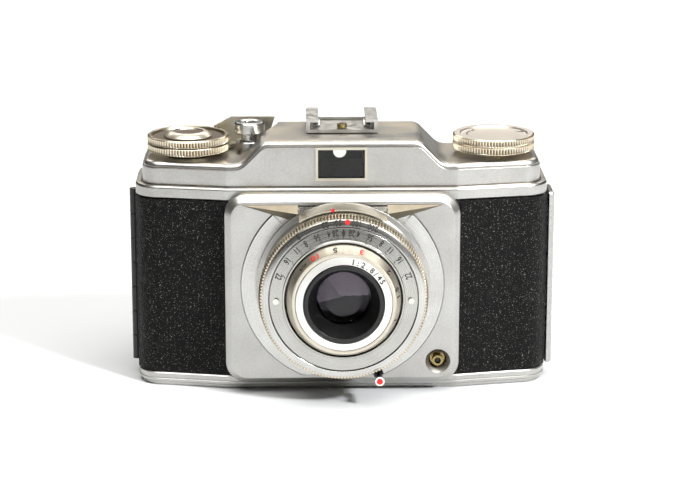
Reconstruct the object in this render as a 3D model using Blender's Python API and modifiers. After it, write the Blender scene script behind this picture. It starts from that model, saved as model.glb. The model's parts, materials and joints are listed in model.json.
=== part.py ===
"""Compact 35 mm viewfinder camera with a leaf shutter, built as an assembly of separate pieces.

Run with: blender --background --python part.py
Every size below is in millimetres; MM turns it into Blender's metres. +X is to the right for someone in
front of the lens, -Y is the front and the way the lens looks, +Z is up, and z = 0 is the underside of the
base.
"""
import math

import bmesh
import bpy
from mathutils import Matrix, Vector

MM = 0.001
GAP = 0.3                      # clearance between pieces that rest on each other

# ---- driving dimensions -------------------------------------------------------------------------
BODY_HALF = 60.5               # half the width over the leather
FRONT = -4.7                   # y of the leather at the middle of the front
CREASE = 33.6                  # x where the front starts to taper back
TAPER = 0.2                    # how far the front runs back for each millimetre outwards
REAR = 28.8                    # y of the leather on the back
SEAM = 12.4                    # y where the back door meets the body at the ends
LEATHER = 0.4
BASE_TOP = 4.1
SHELL_TOP = 57.2               # underside of the top cover's band
BAND_TOP = 60.8
DECK = 67.4                    # flat tops at both ends
HUMP = 74.1                    # raised middle that holds the viewfinder
COVER_INSET = 2.1              # top cover's walls, inside the band
SHEET = 1.0                    # sheet metal of the top cover

LENS_Z = 32.9
KNOB_X = 45.0
KNOB_Y = 11.9
KNOB_R = 12.05
KNOB_LOW = 69.1
KNOB_TOP = 73.65

PLATE_HALF = 34.2              # square front plate
PLATE_LOW = 2.9
PLATE_HIGH = 59.8
PLATE_FRONT = FRONT - 4.8
PLATE_BEVEL = 2.7
DISC_R = 29.4
DISC_FRONT = PLATE_FRONT - 0.55

HOUSING_R = 23.7               # shutter housing
FLANGE_R = 25.2
HOUSING_FRONT = FRONT - 13.9
RING_R = 24.4                  # knurled speed ring, at its back edge
RING_FRONT = FRONT - 19.5
LENS_FRONT = FRONT - 25.0      # foremost rim of the lens

LEAF = 0.15                    # thickness of a shutter leaf
LEAF_STEP = 0.35               # distance between the planes of two leaves
LEAF_PIVOT_R = 14.5

FINE, MEDIUM, COARSE = 36, 28, 20      # facets round a large, a middling and a small turned piece

EYE_X, EYE_Z = -0.2, 65.3      # middle of the viewfinder's eyepiece
EYE_BORE = 2.0

CHAMBER_R = 12.65              # film cartridge chamber
GATE_Y = 24.3                  # film rails
GATE_HALF_X, GATE_HALF_Z = 18.0, 12.0

HINGE_X, HINGE_Y = -61.45, 13.3
KNUCKLE_R = 1.3
LATCH_X = 62.75
RELEASE_X, RELEASE_Y = -27.0, 14.0

# ---- scene and materials ------------------------------------------------------------------------
for old in list(bpy.data.objects):
    bpy.data.objects.remove(old, do_unlink=True)


def new_collection(name):
    collection = bpy.data.collections.new(name)
    bpy.context.scene.collection.children.link(collection)
    return collection


PARTS = new_collection("film_camera")
CUTTERS = new_collection("cutters")


def new_material(name, colour, metallic, roughness):
    material = bpy.data.materials.new(name)
    material.use_nodes = True
    shader = material.node_tree.nodes["Principled BSDF"]
    shader.inputs["Base Color"].default_value = (*colour, 1.0)
    shader.inputs["Metallic"].default_value = metallic
    shader.inputs["Roughness"].default_value = roughness
    return material


SATIN = new_material("satin_chrome", (0.58, 0.58, 0.57), 1.0, 0.34)
BRIGHT = new_material("bright_chrome", (0.70, 0.68, 0.64), 1.0, 0.18)
ALLOY = new_material("white_alloy", (0.80, 0.79, 0.77), 1.0, 0.38)
LEATHERETTE = new_material("black_leatherette", (0.012, 0.012, 0.013), 0.0, 0.55)
BLACK = new_material("black_enamel", (0.010, 0.010, 0.010), 0.0, 0.40)
CAST = new_material("cast_alloy", (0.09, 0.09, 0.09), 0.6, 0.60)
STEEL = new_material("spring_steel", (0.45, 0.45, 0.46), 1.0, 0.30)
BRASS = new_material("brass", (0.55, 0.42, 0.20), 1.0, 0.35)
GLASS = new_material("coated_glass", (0.05, 0.04, 0.07), 0.0, 0.03)

# ---- makers -------------------------------------------------------------------------------------


def add_piece(name, mesh, material, collection=PARTS):
    piece = bpy.data.objects.new(name, mesh)
    collection.objects.link(piece)
    if material is not None:
        mesh.materials.append(material)
    return piece


def as_cutter(piece):
    """Keeps a helper shape out of the render."""
    for collection in list(piece.users_collection):
        collection.objects.unlink(piece)
    CUTTERS.objects.link(piece)
    piece.hide_render = True
    piece.display_type = "WIRE"
    return piece


def box(name, corner, opposite, material=None):
    """A box between two opposite corners, given in either order."""
    low = Vector([min(pair) for pair in zip(corner, opposite)]) * MM
    high = Vector([max(pair) for pair in zip(corner, opposite)]) * MM
    mesh = bpy.data.meshes.new(name)
    shape = bmesh.new()
    bmesh.ops.create_cube(shape, size=1.0)
    bmesh.ops.scale(shape, vec=high - low, verts=shape.verts)
    bmesh.ops.translate(shape, vec=(low + high) / 2, verts=shape.verts)
    shape.to_mesh(mesh)
    shape.free()
    return add_piece(name, mesh, material)


UPRIGHT = Matrix.Identity(4)
FORWARD = Matrix.Rotation(math.radians(90), 4, "X")    # local +Z points along -Y, out of the lens


def rod(name, radius, low, high, place, material=None, turn=UPRIGHT, sides=MEDIUM, top_radius=None):
    """A cylinder or a cone from low to high along its own axis, which stands at place."""
    mesh = bpy.data.meshes.new(name)
    shape = bmesh.new()
    bmesh.ops.create_cone(
        shape, cap_ends=True, segments=sides,
        radius1=radius * MM, radius2=(radius if top_radius is None else top_radius) * MM,
        depth=(high - low) * MM,
        matrix=Matrix.Translation((0, 0, (low + high) / 2 * MM)))
    shape.to_mesh(mesh)
    shape.free()
    piece = add_piece(name, mesh, material)
    piece.matrix_world = Matrix.Translation(Vector(place) * MM) @ turn
    mesh.shade_smooth()
    mesh.set_sharp_from_angle(angle=math.radians(40))
    return piece


def turned(name, profile, place, material=None, turn=UPRIGHT, steps=48, closed=True):
    """A turned shape. The profile holds (radius, height) and runs down the outer side first."""
    mesh = bpy.data.meshes.new(name)
    points = [(radius * MM, 0.0, height * MM) for radius, height in profile]
    edges = [(i, i + 1) for i in range(len(points) - 1)]
    if closed:
        edges.append((len(points) - 1, 0))
    mesh.from_pydata(points, edges, [])
    piece = add_piece(name, mesh, material)
    screw = piece.modifiers.new("turn", "SCREW")
    screw.steps = screw.render_steps = steps
    screw.use_merge_vertices = True
    screw.merge_threshold = 1e-6
    screw.use_smooth_shade = True
    piece.matrix_world = Matrix.Translation(Vector(place) * MM) @ turn
    return piece


def ring(name, outer, inner, low, high, place, material=None, turn=UPRIGHT, steps=FINE):
    """A plain ring or washer."""
    profile = [(outer, high), (outer, low), (inner, low), (inner, high)]
    return turned(name, profile, place, material, turn, steps)


def rounded(corners, arc_steps=4):
    """The points of a polygon whose corners (x, y, radius) are rounded."""
    points = []
    for index, (x, y, radius) in enumerate(corners):
        here = Vector((x, y))
        before = (Vector(corners[index - 1][:2]) - here).normalized()
        after = (Vector(corners[(index + 1) % len(corners)][:2]) - here).normalized()
        if radius <= 0:
            points.append((x, y))
            continue
        half = before.angle(after) / 2
        reach = radius / math.tan(half)
        centre = here + (before + after).normalized() * radius / math.sin(half)
        start, end = here + before * reach - centre, here + after * reach - centre
        sweep = start.angle_signed(end)
        for step in range(arc_steps + 1):
            spot = centre + Matrix.Rotation(-sweep * step / arc_steps, 2) @ start
            points.append((spot.x, spot.y))
    return points


def outline_mesh(name, points, low, high):
    """A closed prism from a flat outline, from low to high along the outline's own normal."""
    curve = bpy.data.curves.new(name, "CURVE")
    curve.dimensions = "2D"
    curve.fill_mode = "BOTH"
    curve.extrude = (high - low) / 2 * MM
    spline = curve.splines.new("POLY")
    spline.points.add(len(points) - 1)
    for point, (x, y) in zip(spline.points, points):
        point.co = (x * MM, y * MM, 0.0, 1.0)
    spline.use_cyclic_u = True
    drawing = bpy.data.objects.new(name + "_drawing", curve)
    bpy.context.scene.collection.objects.link(drawing)
    graph = bpy.context.evaluated_depsgraph_get()
    mesh = bpy.data.meshes.new_from_object(drawing.evaluated_get(graph))
    bpy.data.objects.remove(drawing, do_unlink=True)
    shape = bmesh.new()
    shape.from_mesh(mesh)
    bmesh.ops.remove_doubles(shape, verts=shape.verts, dist=1e-6)
    bmesh.ops.dissolve_limit(shape, angle_limit=math.radians(0.5), verts=shape.verts, edges=shape.edges)
    bmesh.ops.translate(shape, vec=(0, 0, (low + high) / 2 * MM), verts=shape.verts)
    bmesh.ops.recalc_face_normals(shape, faces=shape.faces)
    shape.to_mesh(mesh)
    shape.free()
    return mesh


def prism(name, points, low, high, material=None, turn=UPRIGHT, place=(0, 0, 0)):
    piece = add_piece(name, outline_mesh(name, points, low, high), material)
    piece.matrix_world = Matrix.Translation(Vector(place) * MM) @ turn
    return piece


def combine(piece, other, how="DIFFERENCE", solver="EXACT"):
    """Cuts, joins or keeps the common part, and leaves the other shape as a hidden helper."""
    boolean = piece.modifiers.new(how.lower(), "BOOLEAN")
    boolean.operation = how
    boolean.solver = solver
    boolean.object = as_cutter(other)
    return piece


def chamfer(piece, width, angle=50):
    bevel = piece.modifiers.new("chamfer", "BEVEL")
    bevel.width = width * MM
    bevel.segments = 1
    bevel.limit_method = "ANGLE"
    bevel.angle_limit = math.radians(angle)
    return piece


def pivot(name, place):
    """An empty on a joint's axis."""
    empty = bpy.data.objects.new(name, None)
    empty.empty_display_size = 0.01
    PARTS.objects.link(empty)
    empty.location = Vector(place) * MM
    bpy.context.view_layer.update()
    return empty


def hang_on(empty, *pieces):
    for piece in pieces:
        piece.parent = empty
        piece.matrix_parent_inverse = empty.matrix_world.inverted()


def forward(y):
    """How far a world y lies in front of y = 0, which is height along the lens axis."""
    return -y


# ---- outlines seen from above -------------------------------------------------------------------


def body_outline(inset=0.0, rear=REAR, half=None, arc_steps=4):
    """The camera's outline from above, drawn in by inset all round."""
    half = BODY_HALF - inset if half is None else half
    front = FRONT + inset
    shoulder = front + TAPER * (BODY_HALF - CREASE)
    corner = max(8.0 - inset, 2.0)
    return rounded([
        (-CREASE, front, 0), (CREASE, front, 0),
        (half, shoulder, corner), (half, rear, 7.0 - min(inset, 5)),
        (-half, rear, 7.0 - min(inset, 5)), (-half, shoulder, corner)], arc_steps)


def cover_elevation(lift, drop, spread=0.0):
    """The top cover seen from the front: two decks and a hump joined by S-curves."""
    half = BODY_HALF - COVER_INSET + 5
    low, high = DECK + drop, HUMP + drop
    toe, head = 29.4 + spread, 21.2 + spread
    curve = rounded([
        (half, low, 0), (toe, low, 5.0), (head + 1.6, high, 4.0),
        (-head - 1.6, high, 4.0), (-toe, low, 5.0), (-half, low, 0),
        (-half, lift, 0), (half, lift, 0)], 5)
    return curve


def notch_outline(grow):
    """The part of the hump cut back behind its front edge for the release and the lever's thumb tab."""
    front = RELEASE_Y - 4.75 - grow
    return rounded([(-36, front, 0), (-23.2 + grow, front, 2.0), (-18.8 + grow, 24, 3.0),
                    (-18.8 + grow, 40, 0), (-36, 40, 0)])


# ---- body, base and top cover -------------------------------------------------------------------


def make_casting():
    """The die-cast body: two film chambers, the light tunnel and the film gate."""
    low, high = BASE_TOP + GAP, SHELL_TOP - GAP
    casting = prism("body_casting", body_outline(0.8, GATE_Y + 2.9, arc_steps=3), low, high, CAST)
    for side in (-1, 1):
        step_back = box("door_step", (58.4 * side, SEAM - 0.4, low - 1), (64 * side, 40, high + 1))
        combine(casting, step_back)
        chamber = rod("chamber", CHAMBER_R, low + 2.4, high - 1.6, (KNOB_X * side, KNOB_Y, 0), sides=COARSE)
        combine(casting, chamber)
        throat = box("throat", ((KNOB_X - 11.2) * side, KNOB_Y, low + 2.4),
                     ((KNOB_X + CHAMBER_R - 0.3) * side, 40, high - 1.6))
        combine(casting, throat)
        bore = rod("shaft_bore", 4.6, high - 4, high + 4, (KNOB_X * side, KNOB_Y, 0), sides=16)
        combine(casting, bore)
    channel = box("film_channel", (-57.4, GATE_Y, low + 2.4), (57.4, 40, high - 1.6))
    combine(casting, channel)
    sprocket_room = box("sprocket_room", (-35, 11.5, low + 5), (-21.3, 40, high - 4))
    combine(casting, sprocket_room)
    combine(casting, rod("shutter_seat", 20.6, forward(FRONT + 3.4), 20, (0, 0, LENS_Z),
                         turn=FORWARD, sides=FINE))
    tunnel = rod("light_tunnel", 16.9, forward(GATE_Y - 1.0), forward(FRONT - 5), (0, 0, LENS_Z),
                 turn=FORWARD, sides=MEDIUM)
    gate = box("film_gate", (-GATE_HALF_X, 12, LENS_Z - GATE_HALF_Z), (GATE_HALF_X, 40, LENS_Z + GATE_HALF_Z))
    combine(casting, tunnel)
    combine(casting, gate)
    return casting


def make_base():
    """A shallow tray with a stepped foot, the tripod bush and two screws."""
    base = prism("base_plate", body_outline(0.0), 1.3, BASE_TOP, SATIN)
    combine(base, prism("foot", body_outline(1.0, REAR - 1.0), 0.0, 2.2), "UNION")
    combine(base, prism("pocket", body_outline(2.4, REAR - 2.4), 1.2, BASE_TOP + 2))
    combine(base, rod("bush_hole", 5.4, -2, 6, (0, KNOB_Y, 0)))
    ring("tripod_bush", 5.1, 3.0, 0.0, BASE_TOP - 0.1, (0, KNOB_Y, 0), BRIGHT, steps=COARSE)


def make_top_cover():
    """The pressed cover: a band at the foot, walls set in from it, and the raised hump."""
    inner_rear = REAR - 0.9
    cover = prism("top_cover", body_outline(COVER_INSET, inner_rear), BAND_TOP - 1, 90, SATIN)
    shape = prism("cover_shape", cover_elevation(40, 0.0), -20, 60, turn=FORWARD, place=(0, 30, 0))
    combine(cover, shape, "INTERSECT")
    combine(cover, prism("lever_notch", notch_outline(0), DECK, 80))
    combine(cover, prism("band", body_outline(0.0), SHELL_TOP, BAND_TOP), "UNION")
    hollow = prism("cover_hollow", body_outline(COVER_INSET + SHEET, inner_rear - SHEET), SHELL_TOP - 2, 90)
    inside = prism("hollow_shape", cover_elevation(40, -SHEET, -SHEET), -20, 60,
                   turn=FORWARD, place=(0, 30, 0))
    combine(hollow, inside, "INTERSECT")
    combine(hollow, prism("inner_notch", notch_outline(SHEET), DECK - SHEET, 80))
    combine(cover, hollow)
    for x, radius in ((-KNOB_X, 2.5), (KNOB_X, 3.5)):
        combine(cover, rod("shaft_hole", radius, 60, 80, (x, KNOB_Y, 0), sides=16))
    combine(cover, rod("button_hole", 3.0, 60, 80, (RELEASE_X, RELEASE_Y, 0), sides=16))
    combine(cover, box("finder_hole", (-7.5, -8, 62.9), (7.1, 3, 72.3)))
    combine(cover, rod("eyepiece_hole", EYE_BORE + 1.3, forward(40), forward(20), (EYE_X, 0, EYE_Z),
                       turn=FORWARD, sides=COARSE))
    return cover


def make_leather():
    """Leatherette on both front panels, carried round the ends as far as the seam."""
    for side, name in ((-1, "front_leather_left"), (1, "front_leather_right")):
        skin = prism(name, body_outline(0.0), BASE_TOP + GAP, SHELL_TOP - GAP, LEATHERETTE)
        combine(skin, prism("skin_core", body_outline(LEATHER, REAR), 0, 70))
        edge = 5.0 if side < 0 else 4.9
        keep = box("skin_part", ((PLATE_HALF + GAP) * side, FRONT - 3, 0), (70 * side, edge, 70))
        combine(skin, keep, "INTERSECT")


# ---- viewfinder, accessory shoe and flash socket ------------------------------------------------


def make_finder():
    low, high = (-8.6, -1.2, 61.6), (8.2, 25.2, 72.7)
    tube = box("viewfinder_tube", low, high, BLACK)
    combine(tube, box("finder_light", (-6.9, -5, 63.3), (6.5, high[1] - 1.3, 71.9)))
    combine(tube, rod("eye_hole", EYE_BORE, forward(30), forward(20), (EYE_X, 0, EYE_Z), turn=FORWARD,
                      sides=COARSE))
    box("viewfinder_glass", (-7.2, -2.9, 63.2), (6.8, -1.6, 72.0), GLASS)
    frame = box("viewfinder_bezel", (-7.7, -3.25, 62.7), (7.3, -2.95, 72.5), BRIGHT)
    combine(frame, box("bezel_light", (-7.0, -6, 63.4), (6.6, 0, 71.8)))
    eye = (EYE_X, 0, EYE_Z)
    rod("viewfinder_eye_lens", EYE_BORE + 0.9, forward(27.6), forward(25.6), eye, GLASS, FORWARD, COARSE)
    ring("eyepiece_ring", EYE_BORE + 2.2, EYE_BORE + 0.9, forward(29.7), forward(28.3), eye, BLACK,
         FORWARD, MEDIUM)


def make_shoe():
    """A cold shoe: floor, two walls and two lips turned in over them."""
    half, low, front, back = 10.5, HUMP + GAP, 8.5, 26.3
    section = [(-half, 0), (half, 0), (half, 4.0), (6.9, 4.0), (6.9, 3.1), (9.4, 3.1), (9.4, 0.9),
               (-9.4, 0.9), (-9.4, 3.1), (-6.9, 3.1), (-6.9, 4.0), (-half, 4.0)]
    prism("accessory_shoe", section, forward(back), forward(front), BRIGHT, FORWARD, (0.2, 0, low))
    spring = prism("shoe_spring", [(-8.4, 1.2), (8.4, 1.2), (8.4, 1.6), (-8.4, 1.6)],
                   forward(back - 2), forward(front + 4), STEEL, FORWARD, (0.2, 0, low))
    combine(spring, box("spring_gap", (-6.2, 8, 74), (6.6, 22.5, 80)))
    rod("shoe_stop_screw", 1.5, low + 1.2, low + 2.3, (0.2, 10.6, 0), BRASS, sides=16)


def make_flash_socket():
    place = (27.9, 0, 9.8)
    back = forward(PLATE_FRONT + 3.6)
    profile = [(1.55, back + 3.1), (1.55, back + 0.4), (2.2, back + 0.4), (2.2, back),
               (0.95, back), (0.95, back + 3.1)]
    turned("flash_socket", profile, place, BRASS, FORWARD, COARSE)
    rod("flash_socket_core", 0.6, back - 0.2, back + 2.4, place, BLACK, FORWARD, 16)


# ---- front plate --------------------------------------------------------------------------------


def make_front_plate():
    """The square plate with a bevelled rim, the round disc set in it and the brow over the shutter."""
    back = forward(FRONT - 0.1)
    face = forward(PLATE_FRONT)
    half, low, high = PLATE_HALF, PLATE_LOW, PLATE_HIGH

    def square(inset, radius):
        return rounded([(half - inset, high - inset, radius), (-half + inset, high - inset, radius),
                        (-half + inset, low + inset, radius), (half - inset, low + inset, radius)], 5)

    plate = prism("front_plate", square(0, 6.5), back, face, SATIN, FORWARD)
    bevel = plate.modifiers.new("rim", "BEVEL")
    bevel.width = PLATE_BEVEL * MM
    bevel.offset_type = "WIDTH"
    bevel.limit_method = "WEIGHT"
    weights = plate.data.attributes.new("bevel_weight_edge", "FLOAT", "EDGE")
    for edge in plate.data.edges:
        heights = [plate.data.vertices[v].co.z for v in edge.vertices]
        weights.data[edge.index].value = 1.0 if min(heights) > (face - 0.01) * MM else 0.0
    seat = rod("disc_seat", DISC_R + GAP, face - 1.3, face + 4, (0, 0, LENS_Z), turn=FORWARD, sides=FINE)
    limit = box("seat_limit", (-40, -40, PLATE_LOW + PLATE_BEVEL + 0.1),
                (40, 40, PLATE_HIGH - PLATE_BEVEL - 0.1))
    combine(seat, limit, "INTERSECT")
    combine(plate, seat)
    combine(plate, rod("shutter_hole", 21.2, face - 8, face + 4, (0, 0, LENS_Z), turn=FORWARD, sides=FINE))
    combine(plate, rod("socket_cone", 2.4, face - 1.7, face + 0.4, (27.9, 0, 9.8), turn=FORWARD,
                       sides=COARSE, top_radius=3.75))
    combine(plate, rod("socket_hole", 2.5, face - 8, face - 1.6, (27.9, 0, 9.8), turn=FORWARD, sides=COARSE))

    disc = ring("shutter_base_disc", DISC_R, 20.6, face - 1.0, forward(DISC_FRONT), (0, 0, LENS_Z), SATIN,
                FORWARD, FINE)
    trim = box("disc_trim", (-40, -40, PLATE_LOW + PLATE_BEVEL + 0.4), (40, 40, 52.0))
    wing = box("disc_wing", (-40, -40, 51.0), (40, 40, PLATE_HIGH - PLATE_BEVEL - 0.5))
    combine(wing, brow_wedge("wing_gap", GAP))
    combine(trim, wing, "UNION")
    combine(disc, trim, "INTERSECT")


def brow_wedge(name, grow=0.0):
    """A low ridge that starts flush at the plate's upper corners and stands out over the shutter."""
    back, face = PLATE_FRONT + 0.9, PLATE_FRONT
    top = PLATE_HIGH - PLATE_BEVEL
    points = [(side * x, y, z) for side in (-1, 1) for x, y, z in (
        (29.3 + grow, face - 0.31, top), (12.8, face - 2.1 - grow, 54.8),
        (12.8, face - 0.9 - grow, 52.1 - grow),
        (29.3 + grow, back - grow, top + grow), (12.8, back - grow, 52.1 - grow),
        (29.3 + grow, face - 0.31, top + grow))]
    mesh = bpy.data.meshes.new(name)
    shape = bmesh.new()
    for point in points:
        shape.verts.new(Vector(point) * MM)
    hull = bmesh.ops.convex_hull(shape, input=shape.verts)
    loose = [v for v in hull["geom_interior"] + hull["geom_unused"] if isinstance(v, bmesh.types.BMVert)]
    bmesh.ops.delete(shape, geom=list(set(loose)), context="VERTS")
    bmesh.ops.recalc_face_normals(shape, faces=shape.faces)
    shape.to_mesh(mesh)
    shape.free()
    return add_piece(name, mesh, SATIN)


def make_brow():
    """The brow's two wings and, between them, the arched visor that carries the index."""
    face = forward(PLATE_FRONT)
    for side, name in ((-1, "brow_left"), (1, "brow_right")):
        wing = brow_wedge(name)
        combine(wing, box("wing_part", (12.9 * side, -40, 40), (40 * side, PLATE_FRONT - 0.31, 70)),
                "INTERSECT")
        combine(wing, rod("brow_arch", FLANGE_R + GAP, face - 5, face + 20, (0, 0, LENS_Z),
                          turn=FORWARD, sides=FINE))
    prism("index_visor", band_points(FLANGE_R - 0.45, FLANGE_R, 60, 120), face + 2.4,
          forward(HOUSING_FRONT) + 0.8, SATIN, FORWARD, (0, 0, LENS_Z))


# ---- shutter and lens ---------------------------------------------------------------------------


def make_shutter():
    """Everything of the shutter that stands still."""
    place = (0, 0, LENS_Z)
    front, root = forward(HOUSING_FRONT), forward(PLATE_FRONT) + 0.85
    turned("shutter_housing", [
        (HOUSING_R, front), (HOUSING_R, root + 1.4), (FLANGE_R, root + 1.1), (FLANGE_R, root), (20.3, root),
        (20.3, forward(FRONT + 3.0)), (12.0, forward(FRONT + 3.0)), (12.0, forward(FRONT + 1.4)),
        (18.8, forward(FRONT + 1.4)),
        (18.8, front - 1.6), (20.0, front - 1.6), (20.0, front)], place, BLACK, FORWARD, FINE)
    plane = forward(RING_FRONT)
    turned("scale_ring", [
        (21.1, plane), (21.1, plane - 1.2), (18.6, plane - 1.2), (18.6, front - 1.2), (17.9, front - 1.2),
        (17.9, plane - 2.2), (16.9, plane - 2.2), (16.9, plane + 0.9), (17.4, plane + 0.9),
        (17.6, plane + 0.5)],
        place, SATIN, FORWARD, FINE)
    for side, name in ((-1, "scale_screw_left"), (1, "scale_screw_right")):
        rod(name, 0.85, plane + 0.6, plane + 0.95, (19.3 * side, 0, LENS_Z - 0.3), BRIGHT, FORWARD, 16)
    rear = forward(FRONT + 1.0)
    ring("rear_lens_cell", 9.4, 7.4, rear - 4.6, rear + 2.6, place, BLACK, FORWARD, MEDIUM)
    rod("rear_lens", 7.0, rear - 3.6, rear + 0.8, place, GLASS, FORWARD, MEDIUM)


def make_rings(lens):
    """Speed ring, aperture ring and self-timer lever, stacked on the housing behind each other."""
    place = (0, 0, LENS_Z)
    plane, front = forward(RING_FRONT), forward(HOUSING_FRONT)
    speed = turned("speed_ring", [
        (RING_R - 0.45, plane - 0.6), (RING_R, plane - 3.3), (19.0, plane - 3.3), (19.0, plane - 1.6),
        (21.4, plane - 1.6), (21.4, plane + 0.2)], place, SATIN, FORWARD, FINE)
    aperture = ring("aperture_ring", RING_R, 19.2, front + 1.2, front + 2.0, place, BRIGHT, FORWARD, FINE)
    timer = ring("self_timer_lever", 23.8, 20.6, front + 0.3, front + 0.9, place, BLACK, FORWARD, FINE)
    angle = math.atan2(10.4, 24.2)
    arm = box("timer_arm", (-1.4, -(front + 0.9), -26.4), (1.4, -(front + 0.3), -22.5))
    pin = rod("timer_pin", 0.95, front - 0.2, front + 6.2, (0, 0, -26.3), turn=FORWARD, sides=16)
    head = rod("timer_head", 1.33, front + 5.6, front + 6.7, (0, 0, -26.3), turn=FORWARD, sides=16)
    swing = Matrix.Translation((0, 0, LENS_Z * MM)) @ Matrix.Rotation(-angle, 4, "Y")
    bpy.context.view_layer.update()
    for piece in (arm, pin, head):
        piece.matrix_world = swing @ piece.matrix_world
        combine(timer, piece, "UNION")
    hang_on(lens, speed, aperture, timer)


def band_points(inner, outer, start, end, steps=9):
    """An arc-shaped band between two angles in degrees."""
    angles = [math.radians(start + (end - start) * i / steps) for i in range(steps + 1)]
    inside = [(inner * math.cos(a), inner * math.sin(a)) for a in angles]
    outside = [(outer * math.cos(a), outer * math.sin(a)) for a in reversed(angles)]
    return inside + outside


def make_leaves(lens):
    """Five shutter leaves, closed at rest. Each turns on its own pin and lies in a plane of its own."""
    behind = forward(HOUSING_FRONT) - 2.4
    corners = [(-0.9, -0.8, 0.5), (-5.3, 5.6, 0.8), (-3.6, 7.9, 1.2), (4.6, 8.4, 2.5), (15.7, 1.3, 1.2),
               (15.2, -1.4, 1.2)]
    for index in range(5):
        mesh = outline_mesh("leaf", rounded(corners, 3), 0, LEAF)
        mesh.transform(Matrix.Translation((-LEAF_PIVOT_R * MM, 0, 0)))
        leaf = add_piece("shutter_leaf_%d" % (index + 1), mesh, STEEL)
        spin = Matrix.Rotation(math.radians(72 * index), 4, "Z")
        seat = Matrix.Translation((LEAF_PIVOT_R * MM, 0, (behind - LEAF_STEP * index) * MM))
        leaf.matrix_world = Matrix.Translation((0, 0, LENS_Z * MM)) @ FORWARD @ spin @ seat
        hang_on(lens, leaf)


def make_front_cell(lens):
    """The focusing ring and the front cell that it screws in and out."""
    place = (0, 0, LENS_Z)
    plane, rim = forward(RING_FRONT), forward(LENS_FRONT)
    focus = turned("focus_ring", [
        (14.9, rim - 0.9), (16.4, plane + 0.9), (16.4, plane - 1.4), (14.0, plane - 1.4), (14.0, rim - 0.9)],
        place, BRIGHT, FORWARD, FINE)
    name_ring = turned("lens_front_ring", [
        (13.7, rim - 0.6), (13.7, rim - 3.4), (11.6, rim - 3.4), (11.6, rim - 0.2)],
        place, ALLOY, FORWARD, FINE)
    bezel = turned("lens_bezel", [
        (11.3, rim), (11.3, rim - 4.8), (9.2, rim - 5.6), (9.2, rim - 9.6), (7.9, rim - 9.6),
        (7.9, rim - 6.6), (10.2, rim)], place, BLACK, FORWARD, MEDIUM)
    glass = turned("front_lens", [
        (0, rim - 4.9), (2.6, rim - 5.05), (5.2, rim - 5.6), (7.6, rim - 6.9), (7.6, rim - 8.6),
        (0, rim - 8.6)],
        place, GLASS, FORWARD, 40, closed=False)
    hang_on(lens, focus, name_ring, bezel, glass)


# ---- winding side -------------------------------------------------------------------------------


def make_winding(axis):
    """Lever and hub, counter disc, reminder dial, take-up spool; the spool shares the lever's axis."""
    place = (-KNOB_X, KNOB_Y, 0)
    middle = (KNOB_LOW + KNOB_TOP) / 2
    hub = turned("lever_hub", [
        (0, middle - 0.15), (KNOB_R, middle - 0.15), (KNOB_R, KNOB_LOW), (3.6, KNOB_LOW), (3.6, 68.0),
        (2.1, 68.0), (2.1, 55.4), (0, 55.4)], place, BRIGHT, steps=MEDIUM, closed=False)
    disc = turned("counter_disc", [
        (KNOB_R, KNOB_TOP), (KNOB_R, middle + 0.15), (3.0, middle + 0.15), (3.0, KNOB_TOP - 0.9),
        (10.6, KNOB_TOP - 0.9), (10.9, KNOB_TOP)], place, BRIGHT, steps=MEDIUM)
    dial = turned("reminder_dial", [
        (0, KNOB_TOP + 0.4), (4.5, KNOB_TOP + 0.4), (4.7, KNOB_TOP + 0.9), (5.8, KNOB_TOP + 0.6),
        (7.0, KNOB_TOP - 0.3),
        (7.0, KNOB_TOP - 0.6), (2.6, KNOB_TOP - 0.6), (2.6, middle + 0.5), (0, middle + 0.5)],
        place, BRIGHT, steps=MEDIUM, closed=False)

    lever = ring("wind_lever", 6.6, 4.0, 67.75, 68.75, place, SATIN, steps=MEDIUM)
    arm = prism("lever_arm", [(-42.6, 16.6), (-37.9, 14.2), (-27.0, 24.3), (-27.0, 25.3), (-37.6, 25.3)],
                67.75, 68.75)
    combine(lever, arm, "UNION")
    tab_outline = [(-37.9, 67.75), (-37.9, 73.2), (-32.7, 76.0), (-19.6, 76.0), (-20.6, 73.0), (-23.6, 67.75)]
    tab = prism("lever_tab", tab_outline, forward(25.3), forward(24.3), turn=FORWARD)
    combine(lever, tab, "UNION")

    spool = turned("take_up_spool", [
        (9.8, 54.6), (9.8, 53.6), (7.6, 53.6), (7.6, 10.2), (9.8, 10.2), (9.8, 9.2),
        (3.0, 9.2), (3.0, 54.6)], place, BLACK, steps=COARSE)
    combine(spool, box("spool_slot", (-KNOB_X - 0.8, 0, 14), (-KNOB_X + 0.8, KNOB_Y - 2, 50)))
    hang_on(axis, hub, disc, dial, lever, spool)

    sprocket_place = (-28.3, 19.0, 0)
    sprocket = rod("sprocket_shaft", 3.2, 12.6, 50.6, sprocket_place, BLACK, sides=COARSE)
    for height in (18.4, 46.4):
        wheel = rod("sprocket_wheel", 4.5, height - 1.4, height + 1.4, sprocket_place, sides=COARSE)
        combine(sprocket, wheel, "UNION")
        for tooth in range(8):
            angle = math.radians(45 * tooth + 22.5)
            spike = box("tooth", (3.4, -0.6, height - 0.8), (5.6, 0.6, height + 0.8))
            bpy.context.view_layer.update()
            spike.matrix_world = (Matrix.Translation(Vector(sprocket_place) * MM)
                                  @ Matrix.Rotation(angle, 4, "Z") @ spike.matrix_world)
            combine(sprocket, spike, "UNION")


def make_release():
    """A mushroom button in its collar, with a threaded well for a cable release."""
    place = (RELEASE_X, RELEASE_Y, 0)
    turned("release_collar", [
        (3.75, 71.2), (4.05, 70.9), (4.05, DECK + GAP), (2.85, DECK + GAP), (2.85, 71.2)],
        place, BRIGHT, steps=COARSE)
    turned("release_button", [
        (0, 74.2), (1.6, 74.2), (1.9, 76.6), (3.0, 76.9), (4.1, 76.8), (4.5, 76.3), (4.5, 73.7), (4.2, 73.3),
        (2.5, 73.3), (2.5, 64.0), (0, 64.0)], place, BRIGHT, steps=COARSE, closed=False)


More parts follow.
